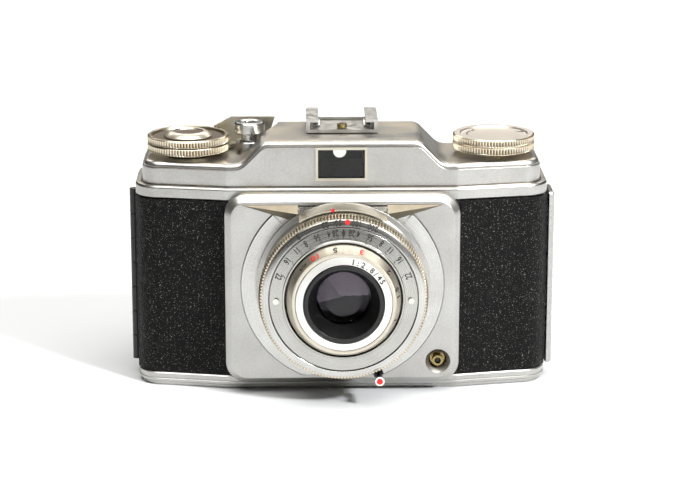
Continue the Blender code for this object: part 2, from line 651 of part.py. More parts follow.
# ---- rewinding side -----------------------------------------------------------------------------


def make_rewind(axis):
    place = (KNOB_X, KNOB_Y, 0)
    middle = (KNOB_LOW + KNOB_TOP) / 2
    knob = turned("rewind_knob", [
        (0, KNOB_TOP - 0.5), (9.8, KNOB_TOP - 0.5), (10.0, KNOB_TOP), (KNOB_R, KNOB_TOP - 0.25),
        (KNOB_R, middle + 0.2), (KNOB_R - 0.4, middle), (KNOB_R, middle - 0.2), (KNOB_R, KNOB_LOW),
        (3.2, KNOB_LOW), (3.2, 60.5), (2.1, 60.5), (2.1, 72.4), (0, 72.4)],
        place, BRIGHT, steps=MEDIUM, closed=False)
    shaft = rod("rewind_shaft", 1.8, 48.5, 72.1, place, STEEL, sides=16)
    fork = rod("rewind_fork", 3.7, 48.8, 53.6, place, sides=COARSE)
    combine(fork, box("fork_slot", (KNOB_X - 1.1, 0, 48), (KNOB_X + 1.1, 30, 51.6)))
    combine(shaft, fork, "UNION")
    combine(shaft, box("fork_tip", (KNOB_X - 1.1, 0, 47), (KNOB_X + 1.1, 30, 51.6)))
    combine(shaft, rod("shaft_collar", 4.2, 57.6, 59.6, place, sides=COARSE), "UNION")
    hang_on(axis, knob, shaft)


# ---- back door ----------------------------------------------------------------------------------


def make_door(hinge):
    """The hinged back: shell, leather, hinge, latch bar, pressure plate and its spring."""
    low, high = BASE_TOP + GAP, SHELL_TOP - GAP
    shell = prism("door_shell", body_outline(0.6, REAR - 0.6), low, high, BLACK)
    combine(shell, prism("door_core", body_outline(1.2, REAR - 1.25), 0, 70))
    combine(shell, box("door_part", (-70, SEAM, 0), (70, 40, 70)), "INTERSECT")

    skin = prism("door_leather", body_outline(0.0), low, high, LEATHERETTE)
    combine(skin, prism("door_skin_core", body_outline(LEATHER - 0.05, REAR - LEATHER + 0.05), 0, 70))
    combine(skin, box("door_skin_part", (-70, 19.6, 0), (70, 40, 70)), "INTERSECT")

    plate = box("pressure_plate", (-27, GATE_Y + 0.5, 12.5), (27, GATE_Y + 1.5, 53.0), BLACK)
    leaf_outline = [(-21, 26.9), (-8, 26.65), (8, 26.65), (21, 26.9), (21, 27.2), (-21, 27.2)]
    spring = prism("pressure_spring", leaf_outline, 26.5, 39.0, STEEL)

    latch = box("latch_bar", (60.75, 5.3, 4.5), (LATCH_X, 16.7, 56.9), SATIN)
    chamfer(latch, 0.5)

    knuckles = 7
    pitch = (high - low) / knuckles
    leaves = (("body_hinge_leaf", 0, 5.4, 11.6, 12.9), ("door_hinge_leaf", 1, 19.3, 15.0, 13.7))
    for name, first, outer, inner, bridge in leaves:
        leaf = box(name, (-60.55, outer, low), (-60.15, inner, high), BLACK)
        for index in range(first, knuckles, 2):
            bottom = low + pitch * index + (GAP / 2 if index else 0)
            top = low + pitch * (index + 1) - (GAP / 2 if index < knuckles - 1 else 0)
            combine(leaf, rod("knuckle", KNUCKLE_R, bottom, top, (HINGE_X, HINGE_Y, 0), sides=16), "UNION")
            shy = 0.8 if inner < outer else -0.8
            link = box("knuckle_link", (-60.7, inner + shy, bottom + 0.15), (-60.25, bridge, top - 0.15))
            combine(leaf, link, "UNION")
        combine(leaf, rod("pin_bore", 0.8, 0, 70, (HINGE_X, HINGE_Y, 0), sides=16))
    rod("hinge_pin", 0.65, low + 0.1, high - 0.1, (HINGE_X, HINGE_Y, 0), STEEL, sides=16)
    hang_on(hinge, shell, skin, plate, spring, latch, bpy.data.objects["door_hinge_leaf"])


# ---- assembly -----------------------------------------------------------------------------------
LENS_AXIS = pivot("lens_axis", (0, 0, LENS_Z))
WIND_AXIS = pivot("wind_axis", (-KNOB_X, KNOB_Y, 0))
REWIND_AXIS = pivot("rewind_axis", (KNOB_X, KNOB_Y, 0))
DOOR_AXIS = pivot("door_axis", (HINGE_X, HINGE_Y, 0))

make_casting()
make_base()
make_top_cover()
make_leather()
make_finder()
make_shoe()
make_flash_socket()
make_front_plate()
make_brow()
make_shutter()
make_rings(LENS_AXIS)
make_leaves(LENS_AXIS)
make_front_cell(LENS_AXIS)
make_winding(WIND_AXIS)
make_release()
make_rewind(REWIND_AXIS)
make_door(DOOR_AXIS)
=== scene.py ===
import json
import math

import bmesh
import bpy
from mathutils import Matrix, Vector


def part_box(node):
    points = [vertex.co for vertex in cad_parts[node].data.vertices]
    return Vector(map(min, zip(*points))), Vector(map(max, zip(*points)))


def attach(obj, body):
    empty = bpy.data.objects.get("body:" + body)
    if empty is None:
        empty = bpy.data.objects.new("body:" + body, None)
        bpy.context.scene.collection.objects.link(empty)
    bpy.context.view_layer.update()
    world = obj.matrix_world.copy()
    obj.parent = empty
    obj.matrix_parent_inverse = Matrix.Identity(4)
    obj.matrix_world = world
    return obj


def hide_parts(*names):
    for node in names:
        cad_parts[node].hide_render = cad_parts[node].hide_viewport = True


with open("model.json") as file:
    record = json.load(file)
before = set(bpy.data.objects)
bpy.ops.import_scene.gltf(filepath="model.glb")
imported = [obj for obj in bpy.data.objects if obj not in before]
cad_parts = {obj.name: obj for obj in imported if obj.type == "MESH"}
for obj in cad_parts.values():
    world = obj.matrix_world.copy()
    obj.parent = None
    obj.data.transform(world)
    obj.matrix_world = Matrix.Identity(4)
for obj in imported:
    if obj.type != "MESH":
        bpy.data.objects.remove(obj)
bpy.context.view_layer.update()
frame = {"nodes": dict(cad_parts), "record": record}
nodes = frame["nodes"]
bodyOf = {name: body for body, names in frame["record"]["behaviour"]["bodies"].items() for name in names}
mm = 0.001
knobX, knobY = 45.0, 11.9
lensLow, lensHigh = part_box("shutter_housing")
lensZ = (lensLow.z + lensHigh.z) / 2 / mm
toFront = Matrix.Rotation(math.pi / 2, 4, "X")  # local up points out of the lens
lensPlace = Matrix.Translation((0, 0, lensZ * mm)) @ toFront
print("frame loaded:", len(nodes), "nodes")


# Colours and nodes

def hexToLinear(text):
    channels = [int(text[i:i + 2], 16) / 255 for i in (1, 3, 5)]
    return tuple(c / 12.92 if c <= 0.04045 else ((c + 0.055) / 1.055) ** 2.4 for c in channels) + (1.0,)


def setInputs(tree, node, inputs):
    # another node's socket is linked, a hex colour is turned linear, the rest is set as it is
    for name, value in inputs.items():
        if isinstance(value, bpy.types.NodeSocket):
            tree.links.new(value, node.inputs[name])
        else:
            node.inputs[name].default_value = hexToLinear(value) if isinstance(value, str) else value


def addNode(tree, kind, inputs, **settings):
    node = tree.nodes.new("ShaderNode" + kind)
    for name, value in settings.items():
        setattr(node, name, value)
    setInputs(tree, node, inputs)
    return node


def startMaterial(name, inputs):
    # place is the point in metres; every piece's object sits at the origin
    material = bpy.data.materials.new(name)
    material.use_nodes = True
    tree = material.node_tree
    shader = tree.nodes["Principled BSDF"]
    setInputs(tree, shader, inputs)
    return material, tree, shader, addNode(tree, "TexCoord", {}).outputs["Object"]


# Satin chrome: sandblasted before plating, so it spreads every reflection softly and has a fine
# grain. Handling leaves it cloudy and nicked, with a tan film of grease on the faces that look up,
# and brown dirt stays in the mesh's grooves. Real grit marks are about 0.05 mm and are drawn at
# 0.45 mm so that they show.
satinSettings = {"clean": "#cbcac8", "dull": "#aeaca8", "grit": "#6f6c66", "nick": "#55524c",
                 "film": "#c4b496", "dirt": "#4e3d28", "grain": 0.45 * mm, "cloud": 12 * mm,
                 "patch": 2.2 * mm, "pitDepth": 0.03 * mm, "smooth": 0.30, "rough": 0.42}


def makeSatinChrome(name):
    s = satinSettings
    material, tree, shader, place = startMaterial(name, {"Metallic": 1.0})
    cloud = addNode(tree, "TexNoise", {"Vector": place, "Scale": 1 / s["cloud"], "Detail": 5}).outputs["Fac"]
    grain = addNode(tree, "TexNoise", {"Vector": place, "Scale": 1 / s["grain"], "Detail": 2}).outputs["Fac"]
    patches = addNode(tree, "TexNoise", {"Vector": place, "Scale": 1 / s["patch"], "Detail": 5,
                                         "Roughness": 0.7}).outputs["Fac"]
    grit = addNode(tree, "MapRange", {"Value": grain, "From Min": 0.35, "From Max": 0.65, "To Min": 0.0,
                                      "To Max": 0.16}).outputs[0]
    nicks = addNode(tree, "MapRange", {"Value": patches, "From Min": 0.69, "From Max": 0.75,
                                       "To Max": 0.4}).outputs[0]
    facing = addNode(tree, "SeparateXYZ", {"Vector": place.node.outputs["Normal"]}).outputs["Z"]
    upward = addNode(tree, "MapRange", {"Value": facing, "From Min": 0.8, "From Max": 1.0}).outputs[0]
    filmy = addNode(tree, "MapRange", {"Value": cloud, "From Min": 0.35, "From Max": 0.65, "To Min": 0.0,
                                       "To Max": 0.45}).outputs[0]
    film = addNode(tree, "Math", {0: upward, 1: filmy}, operation="MULTIPLY").outputs[0]
    groove = addNode(tree, "Attribute", {}, attribute_name="groove").outputs["Fac"]
    uneven = addNode(tree, "MapRange", {"Value": patches, "From Min": 0.3, "From Max": 0.62, "To Min": 0.55,
                                        "To Max": 1.0}).outputs[0]
    dirt = addNode(tree, "Math", {0: groove, 1: uneven}, operation="MULTIPLY", use_clamp=True).outputs[0]
    body = s["clean"]
    for amount, layer in ((cloud, "dull"), (grit, "grit"), (nicks, "nick"), (film, "film"), (dirt, "dirt")):
        body = addNode(tree, "Mix", {0: amount, 6: body, 7: s[layer]}, data_type="RGBA").outputs[2]
    sheen = addNode(tree, "MapRange", {"Value": cloud, "From Min": 0.3, "From Max": 0.7,
                                       "To Min": s["smooth"], "To Max": s["rough"]}).outputs[0]
    pits = addNode(tree, "Bump", {"Height": grain, "Strength": 0.3, "Distance": s["pitDepth"]}).outputs[0]
    setInputs(tree, shader, {"Base Color": body, "Roughness": sheen, "Normal": pits})
    return material


# Turned and knurled brass under worn chrome: warm, with a darker colour in the grooves,
# which the mesh marks with its groove attribute. On the knobs it is brown tarnish; on the
# speed and aperture rings it is near black, which darkens the gaps between the teeth.
knurledSettings = {"crest": "#e8e0cf", "worn": "#cbbda2", "cloud": 5 * mm, "rough": 0.28}


def makeKnurledChrome(name, grooveColour):
    s = knurledSettings
    material, tree, shader, place = startMaterial(name, {"Metallic": 1.0, "Roughness": s["rough"]})
    cloud = addNode(tree, "TexNoise", {"Vector": place, "Scale": 1 / s["cloud"], "Detail": 6}).outputs["Fac"]
    groove = addNode(tree, "Attribute", {}, attribute_name="groove").outputs["Fac"]
    uneven = addNode(tree, "MapRange", {"Value": cloud, "From Min": 0.3, "From Max": 0.7, "To Min": 0.75,
                                        "To Max": 1.0}).outputs[0]
    amount = addNode(tree, "Math", {0: groove, 1: uneven}, operation="MULTIPLY").outputs[0]
    body = addNode(tree, "Mix", {0: cloud, 6: s["crest"], 7: s["worn"]}, data_type="RGBA").outputs[2]
    body = addNode(tree, "Mix", {0: amount, 6: body, 7: grooveColour}, data_type="RGBA").outputs[2]
    setInputs(tree, shader, {"Base Color": body})
    return material


# Spun metal: faced on a lathe, so its satin runs in fine circles round the part's axis.
# Real tool marks are about 0.05 mm apart and are drawn at 0.3 mm.
spunSettings = {"spacing": 0.3 * mm, "cloud": 9 * mm, "markDepth": 0.01 * mm, "smooth": 0.21, "rough": 0.31}


def makeSpunMetal(name, centre, flatAxes, clean, dull, duller=0.0):
    s = spunSettings
    material, tree, shader, place = startMaterial(name, {"Metallic": 1.0})
    away = addNode(tree, "VectorMath", {0: place, 1: centre}, operation="SUBTRACT").outputs[0]
    flat = addNode(tree, "VectorMath", {0: away, 1: flatAxes}, operation="MULTIPLY").outputs[0]
    radius = addNode(tree, "VectorMath", {0: flat}, operation="LENGTH").outputs["Value"]
    marks = addNode(tree, "TexNoise", {"W": radius, "Scale": 1 / s["spacing"], "Detail": 1},
                    noise_dimensions="1D").outputs["Fac"]
    cloud = addNode(tree, "TexNoise", {"Vector": place, "Scale": 1 / s["cloud"], "Detail": 5}).outputs["Fac"]
    body = addNode(tree, "Mix", {0: cloud, 6: clean, 7: dull}, data_type="RGBA").outputs[2]
    sheen = addNode(tree, "MapRange", {"Value": marks, "From Min": 0.3, "From Max": 0.7,
                                       "To Min": s["smooth"] + duller,
                                       "To Max": s["rough"] + duller}).outputs[0]
    lines = addNode(tree, "Bump", {"Height": marks, "Strength": 0.2, "Distance": s["markDepth"]}).outputs[0]
    setInputs(tree, shader, {"Base Color": body, "Roughness": sheen, "Normal": lines})
    return material


# Polished chrome and nickel: wiping marks dull them in patches.
def makePolishedMetal(name, colour, smooth, rough, patch=2.5 * mm):
    material, tree, shader, place = startMaterial(name, {"Metallic": 1.0, "Base Color": colour})
    wipes = addNode(tree, "TexNoise", {"Vector": place, "Scale": 1 / patch, "Detail": 6}).outputs["Fac"]
    sheen = addNode(tree, "MapRange", {"Value": wipes, "From Min": 0.35, "From Max": 0.7, "To Min": smooth,
                                       "To Max": rough}).outputs[0]
    setInputs(tree, shader, {"Roughness": sheen})
    return material


# Leatherette: cloth coated with black vinyl and pressed with a fine grain. It shows soft broken
# highlights on its pebbles, and a few pale dust specks. A pebble is 0.8 mm across. The pebbles'
# middles are a shade lighter than the hollows between them: painted shade in the hollows.
leatherSettings = {"black": "#040404", "crest": "#0a0a0a", "dust": "#8f8d88", "pebble": 0.8 * mm,
                   "warp": 2 * mm, "shift": 1.1 * mm, "fine": 0.35 * mm, "speck": 0.24 * mm,
                   "relief": 0.2 * mm, "smooth": 0.42, "rough": 0.60, "level": 0.13}


def makeLeatherette(name):
    s = leatherSettings
    material, tree, shader, place = startMaterial(name, {"Metallic": 0.0, "IOR": 1.5,
                                                         "Specular IOR Level": s["level"]})
    warp = addNode(tree, "TexNoise", {"Vector": place, "Scale": 1 / s["warp"], "Detail": 3})
    shift = addNode(tree, "VectorMath", {0: warp.outputs["Color"], "Scale": s["shift"]},
                    operation="SCALE").outputs[0]
    bent = addNode(tree, "VectorMath", {0: place, 1: shift}, operation="ADD").outputs[0]
    pebbles = addNode(tree, "TexVoronoi", {"Vector": bent, "Scale": 1 / s["pebble"], "Smoothness": 0.6},
                      feature="SMOOTH_F1").outputs["Distance"]
    fine = addNode(tree, "TexNoise", {"Vector": place, "Scale": 1 / s["fine"], "Detail": 3}).outputs["Fac"]
    relief = addNode(tree, "Math", {0: fine, 1: 0.5, 2: pebbles}, operation="MULTIPLY_ADD").outputs[0]
    speck = addNode(tree, "TexNoise", {"Vector": place, "Scale": 1 / s["speck"], "Detail": 0}).outputs["Fac"]
    dusty = addNode(tree, "MapRange", {"Value": speck, "From Min": 0.73, "From Max": 0.79,
                                       "To Max": 0.75}).outputs[0]
    # lighter on the pebbles' middles, black towards their edges: painted shade in the hollows
    body = addNode(tree, "Mix", {0: pebbles, 6: s["crest"], 7: s["black"]}, data_type="RGBA").outputs[2]
    body = addNode(tree, "Mix", {0: dusty, 6: body, 7: s["dust"]}, data_type="RGBA").outputs[2]
    sheen = addNode(tree, "MapRange", {"Value": warp.outputs["Fac"], "From Min": 0.3, "From Max": 0.7,
                                       "To Min": s["smooth"], "To Max": s["rough"]}).outputs[0]
    bump = addNode(tree, "Bump", {"Height": relief, "Strength": 0.8, "Distance": s["relief"]}, invert=True)
    setInputs(tree, shader, {"Base Color": body, "Roughness": sheen, "Normal": bump.outputs[0]})
    return material


# Stoved enamel, moulded plastic, painted castings, filled figures and drawn or rolled metal:
# one colour with a slight orange peel.
def makeCoating(name, colour, smooth, rough, peel=1.2 * mm, relief=0.01 * mm, metallic=0.0, level=0.5):
    material, tree, shader, place = startMaterial(name, {"Metallic": metallic, "Base Color": colour,
                                                         "Specular IOR Level": level})
    skin = addNode(tree, "TexNoise", {"Vector": place, "Scale": 1 / peel, "Detail": 3}).outputs["Fac"]
    sheen = addNode(tree, "MapRange", {"Value": skin, "From Min": 0.3, "From Max": 0.7, "To Min": smooth,
                                       "To Max": rough}).outputs[0]
    bump = addNode(tree, "Bump", {"Height": skin, "Strength": 0.3, "Distance": relief}).outputs[0]
    setInputs(tree, shader, {"Roughness": sheen, "Normal": bump})
    return material


# Optical crown glass, ground, polished and coated: clear, with a faint tint and smears of dust.
def makeGlass(name, tint, index, haze, smearSize=1.5 * mm):
    material, tree, shader, place = startMaterial(name, {"Base Color": tint, "Transmission Weight": 1.0,
                                                         "IOR": index})
    dust = addNode(tree, "TexNoise", {"Vector": place, "Scale": 1 / smearSize, "Detail": 4}).outputs["Fac"]
    smear = addNode(tree, "MapRange", {"Value": dust, "From Min": 0.45, "From Max": 0.8,
                                       "To Max": haze}).outputs[0]
    setInputs(tree, shader, {"Roughness": smear})
    return material


lensAxis = ((0.0, 0.0, lensZ * mm), (1.0, 0.0, 1.0))  # a centre and the axes across the spin
leftKnobAxis = ((-knobX * mm, knobY * mm, 0.0), (1.0, 1.0, 0.0))
rightKnobAxis = ((knobX * mm, knobY * mm, 0.0), (1.0, 1.0, 0.0))
leafPeel, leafRelief = 2 * mm, 0.001 * mm
satinChrome = makeSatinChrome("sandblastedChrome")
spunPlate = makeSpunMetal("spunChromePlate", *lensAxis, "#d3d2d0", "#b0aeaa")
spunGrey = makeSpunMetal("spunGreyPlate", *lensAxis, "#c3c2bf", "#a3a19b")
spunCream = makeSpunMetal("spunWornNickel", *lensAxis, "#ded8cc", "#c6bdac", 0.12)
spunAlloy = makeSpunMetal("spunWhiteAlloy", *lensAxis, "#f6f5f2", "#e8e6e1", 0.22)
spunKnob = makeSpunMetal("spunWornChrome", *leftKnobAxis, "#ddd7ca", "#bfb6a4", 0.1)
satinDisc = makeSpunMetal("turnedKnobFace", *rightKnobAxis, "#ddd6ce", "#c9c0b5", 0.14)
knurledKnob = makeKnurledChrome("knurledWornChrome", "#5a3f24")
# the speed and aperture rings get near black in their grooves, which darkens the gaps between the teeth
knurledRing = makeKnurledChrome("knurledChromeNearBlackGrooves", "#17120c")
polishedChrome = makePolishedMetal("polishedChrome", "#dedad0", 0.18, 0.34)
dullNickel = makePolishedMetal("dullNickel", "#cdc7b8", 0.30, 0.42)
greyNickel = makePolishedMetal("greyNickel", "#b4b3b1", 0.22, 0.36)
softNickel = makePolishedMetal("softNickel", "#c9c7c3", 0.30, 0.45)
# a darker copy of the nickel for the brows: painted shade on their up-facing tops, which catch the softbox
paintedShadeBrowNickel = makePolishedMetal("paintedShadeBrowNickel", "#6f685b", 0.36, 0.5)
leatherette = makeLeatherette("blackLeatherette")
blackEnamel = makeCoating("stovedBlackEnamel", "#0a0a0a", 0.28, 0.42)
mattBlack = makeCoating("mattBlackPaint", "#060606", 0.75, 0.95, level=0.06)
castAlloy = makeCoating("paintedCasting", "#161616", 0.55, 0.75, 1.8 * mm, 0.03 * mm)
blackPlastic = makeCoating("mouldedBlackPlastic", "#111111", 0.35, 0.5)
blackInk = makeCoating("blackPaintFilling", "#15130f", 0.5, 0.65)
redInk = makeCoating("redPaintFilling", "#c3181c", 0.4, 0.55)
whiteInk = makeCoating("whiteEnamelFilling", "#ece9e0", 0.35, 0.5)
agedDisc = makeCoating("agedBlackPaint", "#4a4139", 0.55, 0.85, 1.0 * mm, 0.05 * mm, level=0.25)
leafSteel = makeCoating("rolledSteel", "#817e81", 0.32, 0.45, leafPeel, leafRelief, 1.0)
# the next two are darker copies of the same rolled steel: painted shade, half shade for leaves 2 and 5 and
# near-black shade for leaves 3 and 4
paintedHalfShadeLeafSteel = makeCoating("paintedHalfShadeRolledSteel", "#656266", 0.32, 0.45, leafPeel, leafRelief, 1.0)
paintedShadeLeafSteel = makeCoating("paintedShadeLeafSteel", "#0c0b0c", 0.32, 0.45, leafPeel, leafRelief, 1.0)
drawnSteel = makeCoating("drawnSteel", "#b9b8b4", 0.25, 0.35, 0.5 * mm, 0.004 * mm, 1.0)
turnedBrass = makeCoating("turnedBrass", "#9b8a5e", 0.22, 0.36, 0.6 * mm, 0.004 * mm, 1.0)
# coated glass reflects less than bare glass, which a lower index stands in for
clearGlass = makeGlass("bloomedCrownGlass", "#f4f6f2", 1.28, 0.01)
coatedGlass = makeGlass("coatedCrownGlass", "#ded8e0", 1.33, 0.0)
print("materials made:", len(bpy.data.materials))


# Mesh tools. Lengths are in millimetres until a mesh is made.

# angles in degrees; merge is in metres; markHalf is half the thickness of a figure or mark
toolSettings = {"straight": 89.5, "sideShare": 0.46, "sharp": 34, "merge": 1e-7, "wallParts": 4,
                "grooveShape": (1.0, 0.3, 0.0, 0.3), "grooveFade": 0.25, "markHalf": 0.012}


def rounded(corners, arcSteps=4, closed=True):
    # corners are (x, y, radius); a radius is cut down where its sides are too short
    points = []
    for index, (x, y, radius) in enumerate(corners):
        here = Vector((x, y))
        last = index == len(corners) - 1
        if radius <= 0 or (not closed and (index == 0 or last)):
            points.append((x, y))
            continue
        before = Vector(corners[index - 1][:2]) - here
        after = Vector(corners[(index + 1) % len(corners)][:2]) - here
        half = before.angle(after) / 2
        if half > math.radians(toolSettings["straight"]):
            points.append((x, y))
            continue
        longest = toolSettings["sideShare"] * min(before.length, after.length)
        reach = min(radius / math.tan(half), longest)
        centre = here + (before.normalized() + after.normalized()).normalized() * reach / math.cos(half)
        start = here + before.normalized() * reach - centre
        end = here + after.normalized() * reach - centre
        sweep = start.angle_signed(end)
        for step in range(arcSteps + 1):
            spot = centre + Matrix.Rotation(-sweep * step / arcSteps, 2) @ start
            points.append((spot.x, spot.y))
    return points


def addObject(name, data):
    thing = bpy.data.objects.new(name, data)
    bpy.context.scene.collection.objects.link(thing)
    return thing


def meshFrom(name, shape):
    mesh = bpy.data.meshes.new(name)
    shape.to_mesh(mesh)
    shape.free()
    return mesh


def addPiece(name, mesh, material, body, *standsFor):
    mesh.materials.append(material)
    mesh.shade_smooth()
    mesh.set_sharp_from_angle(angle=math.radians(toolSettings["sharp"]))
    piece = addObject(name, mesh)
    flat = piece.modifiers.new("broadFaceNormals", "WEIGHTED_NORMAL")
    flat.keep_sharp = True
    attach(piece, body)
    if standsFor:
        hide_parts(*standsFor)
    return piece


def addMark(name, mesh, material, node):
    # a mark stands for no node: it rides with the body of the one it lies on
    addPiece(name, mesh, material, bodyOf[node])


def repaint(mesh, material, where):
    mesh.materials.append(material)
    for face in mesh.polygons:
        if where(face.center / mm):
            face.material_index = 1


def loftMesh(name, rings, wrap=False, caps=True, grooves=None):
    # joins rings of equally many points with faces; wrap joins the last ring to the first
    shape = bmesh.new()
    layer = shape.verts.layers.float.new("groove")
    loops = []
    for ringIndex, ring in enumerate(rings):
        loop = []
        for pointIndex, point in enumerate(ring):
            vert = shape.verts.new(Vector(point) * mm)
            if grooves:
                vert[layer] = grooves[ringIndex][pointIndex]
            loop.append(vert)
        loops.append(loop)
    for first, second in zip(loops, loops[1:] + (loops[:1] if wrap else [])):
        for i in range(len(first)):
            j = (i + 1) % len(first)
            shape.faces.new((first[i], first[j], second[j], second[i]))
    if caps and not wrap:
        shape.faces.new(list(reversed(loops[0])))
        shape.faces.new(loops[-1])
    bmesh.ops.remove_doubles(shape, verts=shape.verts, dist=toolSettings["merge"])
    bmesh.ops.dissolve_degenerate(shape, edges=shape.edges, dist=toolSettings["merge"])
    bmesh.ops.recalc_face_normals(shape, faces=shape.faces)
    return meshFrom(name, shape)


def prismMesh(name, points, low, high):
    return loftMesh(name, [[(x, y, height) for x, y in points] for height in (low, high)])


def turnedMesh(name, corners, fillet=0.1, steps=144, knurls=(), arcSteps=3):
    # corners are (radius, height) round the section. A knurl is cut across the outside wall
    # between two heights: four steps a tooth, one of them at the bottom of its groove.
    grooveShape, fadeOver = toolSettings["grooveShape"], toolSettings["grooveFade"]
    if knurls:
        steps = knurls[0]["teeth"] * len(grooveShape)
    section = rounded([(r, h, 0 if r < 0.01 else fillet) for r, h in corners], arcSteps)
    fine = []
    for index, (r, h) in enumerate(section):
        fine.append((r, h))
        nextR, nextH = section[(index + 1) % len(section)]
        for knurl in knurls:
            if min(r, nextR) > knurl["radius"] and abs(nextH - h) > 0.5:
                parts = toolSettings["wallParts"]
                fine += [(r + (nextR - r) * k / parts, h + (nextH - h) * k / parts) for k in range(1, parts)]
                break
    rings, grooves = [], []
    for r, h in fine:
        ring, marks = [], []
        for step in range(steps):
            cut = 0.0
            for knurl in knurls:
                if r > knurl["radius"] and knurl["low"] < h < knurl["high"]:
                    fade = min(1.0, (h - knurl["low"]) / fadeOver, (knurl["high"] - h) / fadeOver)
                    cut = max(cut, grooveShape[step % len(grooveShape)] * fade)
            depth = cut * knurls[0]["depth"] if knurls else 0.0
            angle = 2 * math.pi * step / steps
            ring.append(((r - depth) * math.cos(angle), (r - depth) * math.sin(angle), h))
            marks.append(cut)
        rings.append(ring)
        grooves.append(marks)
    return loftMesh(name, rings, wrap=True, caps=False, grooves=grooves)


def moved(mesh, matrix):
    mesh.transform(matrix)
    if matrix.determinant() < 0:
        mesh.flip_normals()
    return mesh


def joined(name, meshes):
    whole = bmesh.new()
    for mesh in meshes:
        whole.from_mesh(mesh)
        bpy.data.meshes.remove(mesh)
    return meshFrom(name, whole)


def cut(mesh, tools, operation="DIFFERENCE"):
    # applies Booleans one after another and returns a new mesh; tools are meshes or CAD objects
    target = addObject("cutTarget", mesh)
    made = []
    for tool in tools:
        if isinstance(tool, bpy.types.Mesh):
            tool = addObject("cutTool", tool)
            made.append(tool)
        step = target.modifiers.new("cut", "BOOLEAN")
        step.operation = operation
        step.solver = "EXACT"
        step.object = tool
    graph = bpy.context.evaluated_depsgraph_get()
    result = bpy.data.meshes.new_from_object(target.evaluated_get(graph), depsgraph=graph)
    result.materials.clear()
    for thing in made + [target]:
        bpy.data.objects.remove(thing)
    return result


def boxMesh(low, high):
    shape = bmesh.new()
    bmesh.ops.create_cube(shape, size=1.0)
    for vert in shape.verts:
        for axis in range(3):
            vert.co[axis] = (low[axis] if vert.co[axis] < 0 else high[axis]) * mm
    return meshFrom("box", shape)


def circle(radius, steps):
    angles = [2 * math.pi * k / steps for k in range(steps)]
    return [(radius * math.cos(angle), radius * math.sin(angle)) for angle in angles]


def bandOutline(inside, outside, arc):
    # an arc's points along the inside, then back along the outside
    return [(r * math.cos(angle), r * math.sin(angle)) for r, line in ((inside, arc), (outside, arc[::-1]))
            for angle in line]


def rodMesh(radius, low, high, place=(0, 0, 0), turn=Matrix.Identity(4), steps=96, topRadius=None):
    top = radius if topRadius is None else topRadius
    rings = [[(x, y, height) for x, y in circle(r, steps)] for r, height in ((radius, low), (top, high))]
    return moved(loftMesh("rod", rings), Matrix.Translation(Vector(place) * mm) @ turn)


# Body outlines

bodyShape = {"half": 60.5, "front": -4.7, "crease": 33.6, "taper": 0.2, "rear": 28.8, "corner": 8.0,
             "seam": 5.0, "leather": 0.4, "leatherStart": 34.5, "baseTop": 4.1, "shellTop": 57.2,
             "bandTop": 60.8}


def frontLine(x):
    return bodyShape["front"] + bodyShape["taper"] * max(abs(x) - bodyShape["crease"], 0)


def stations(dense=False):
    middle = bodyShape["half"] - bodyShape["corner"]
    places = {round(middle * k / 14, 3) for k in range(15)} | {bodyShape["crease"]}
    if dense:
        places |= {round(19 + 0.5 * k, 3) for k in range(29)}
    return sorted({-x for x in places} | places)


def planOutline(inset=0.0, rearInset=None, xs=None, cornerSteps=9):
    # the front from left to right, then the rear back again at the same stations
    rearInset = inset if rearInset is None else rearInset
    middle = bodyShape["half"] - bodyShape["corner"]
    corner = max(bodyShape["corner"] - inset, 0.6)
    side = [(0.0, x) for x in (xs or stations())]
    ends = [math.pi / 2 * k / cornerSteps for k in range(1, cornerSteps + 1)]
    right = [(corner * (1 - math.cos(t)), middle + corner * math.sin(t)) for t in ends]
    left = [(drop, -x) for drop, x in reversed(right)]
    line = left + side + right
    front = [(x, frontLine(min(max(x, -middle), middle)) + inset + drop) for drop, x in line]
    rear = [(x, bodyShape["rear"] - rearInset - drop) for drop, x in reversed(line)]
    return front + rear


# Top cover: one pressed shell, from the band at its foot to the raised hump

coverSettings = {"deck": 67.4, "hump": 74.1, "inset": 2.1, "rearInset": 0.9, "toe": 29.4, "head": 22.8,
                 "edge": 1.5, "sheet": 1.0, "toeRadius": 5.0, "headRadius": 4.0}


def coverHeights(lift=0.0, shift=0.0):
    s = coverSettings
    line = rounded([(70, s["deck"] + lift, 0), (s["toe"] + shift, s["deck"] + lift, s["toeRadius"]),
                    (s["head"] + shift, s["hump"] + lift, s["headRadius"]), (0, s["hump"] + lift, 0)],
                   12, closed=False)

    def height(x):
        for (farX, farZ), (nearX, nearZ) in zip(line, line[1:]):
            if nearX <= abs(x) <= farX:
                return farZ + (nearZ - farZ) * (farX - abs(x)) / max(farX - nearX, 1e-6)
        return line[-1][1]
    return height


def coverRings(levels, height):
    rings = []
    for inset, rearInset, base, drop, _ in levels:
        points = planOutline(inset, rearInset, stations(dense=True))
        rings.append([(x, y, base if base is not None else height(x) - drop) for x, y in points])
    return rings


def closedCover(name, rings, grooves=None):
    # the roof is joined front to rear, station by station
    mesh = loftMesh(name, rings, caps=False, grooves=grooves)
    shape = bmesh.new()
    shape.from_mesh(mesh)
    bpy.data.meshes.remove(mesh)
    shape.verts.ensure_lookup_table()
    top, bottom = rings[-1], rings[0]
    finder = {tuple(round(c, 7) for c in vert.co): vert for vert in shape.verts}

    def vertAt(point):
        return finder.get(tuple(round(c * mm, 7) for c in point)) or min(
            shape.verts, key=lambda vert: (vert.co - Vector(point) * mm).length_squared)

    for ring in (top, bottom):
        count = len(ring) // 2
        found = [vertAt(point) for point in ring]
        for i in range(count - 1):
            corners = [found[i], found[i + 1], found[-2 - i], found[-1 - i]]
            unique = [v for k, v in enumerate(corners) if v not in corners[:k]]
            if len(unique) > 2:
                shape.faces.new(unique)
    bmesh.ops.remove_doubles(shape, verts=shape.verts, dist=toolSettings["merge"])
    bmesh.ops.recalc_face_normals(shape, faces=shape.faces)
    return meshFrom(name, shape)


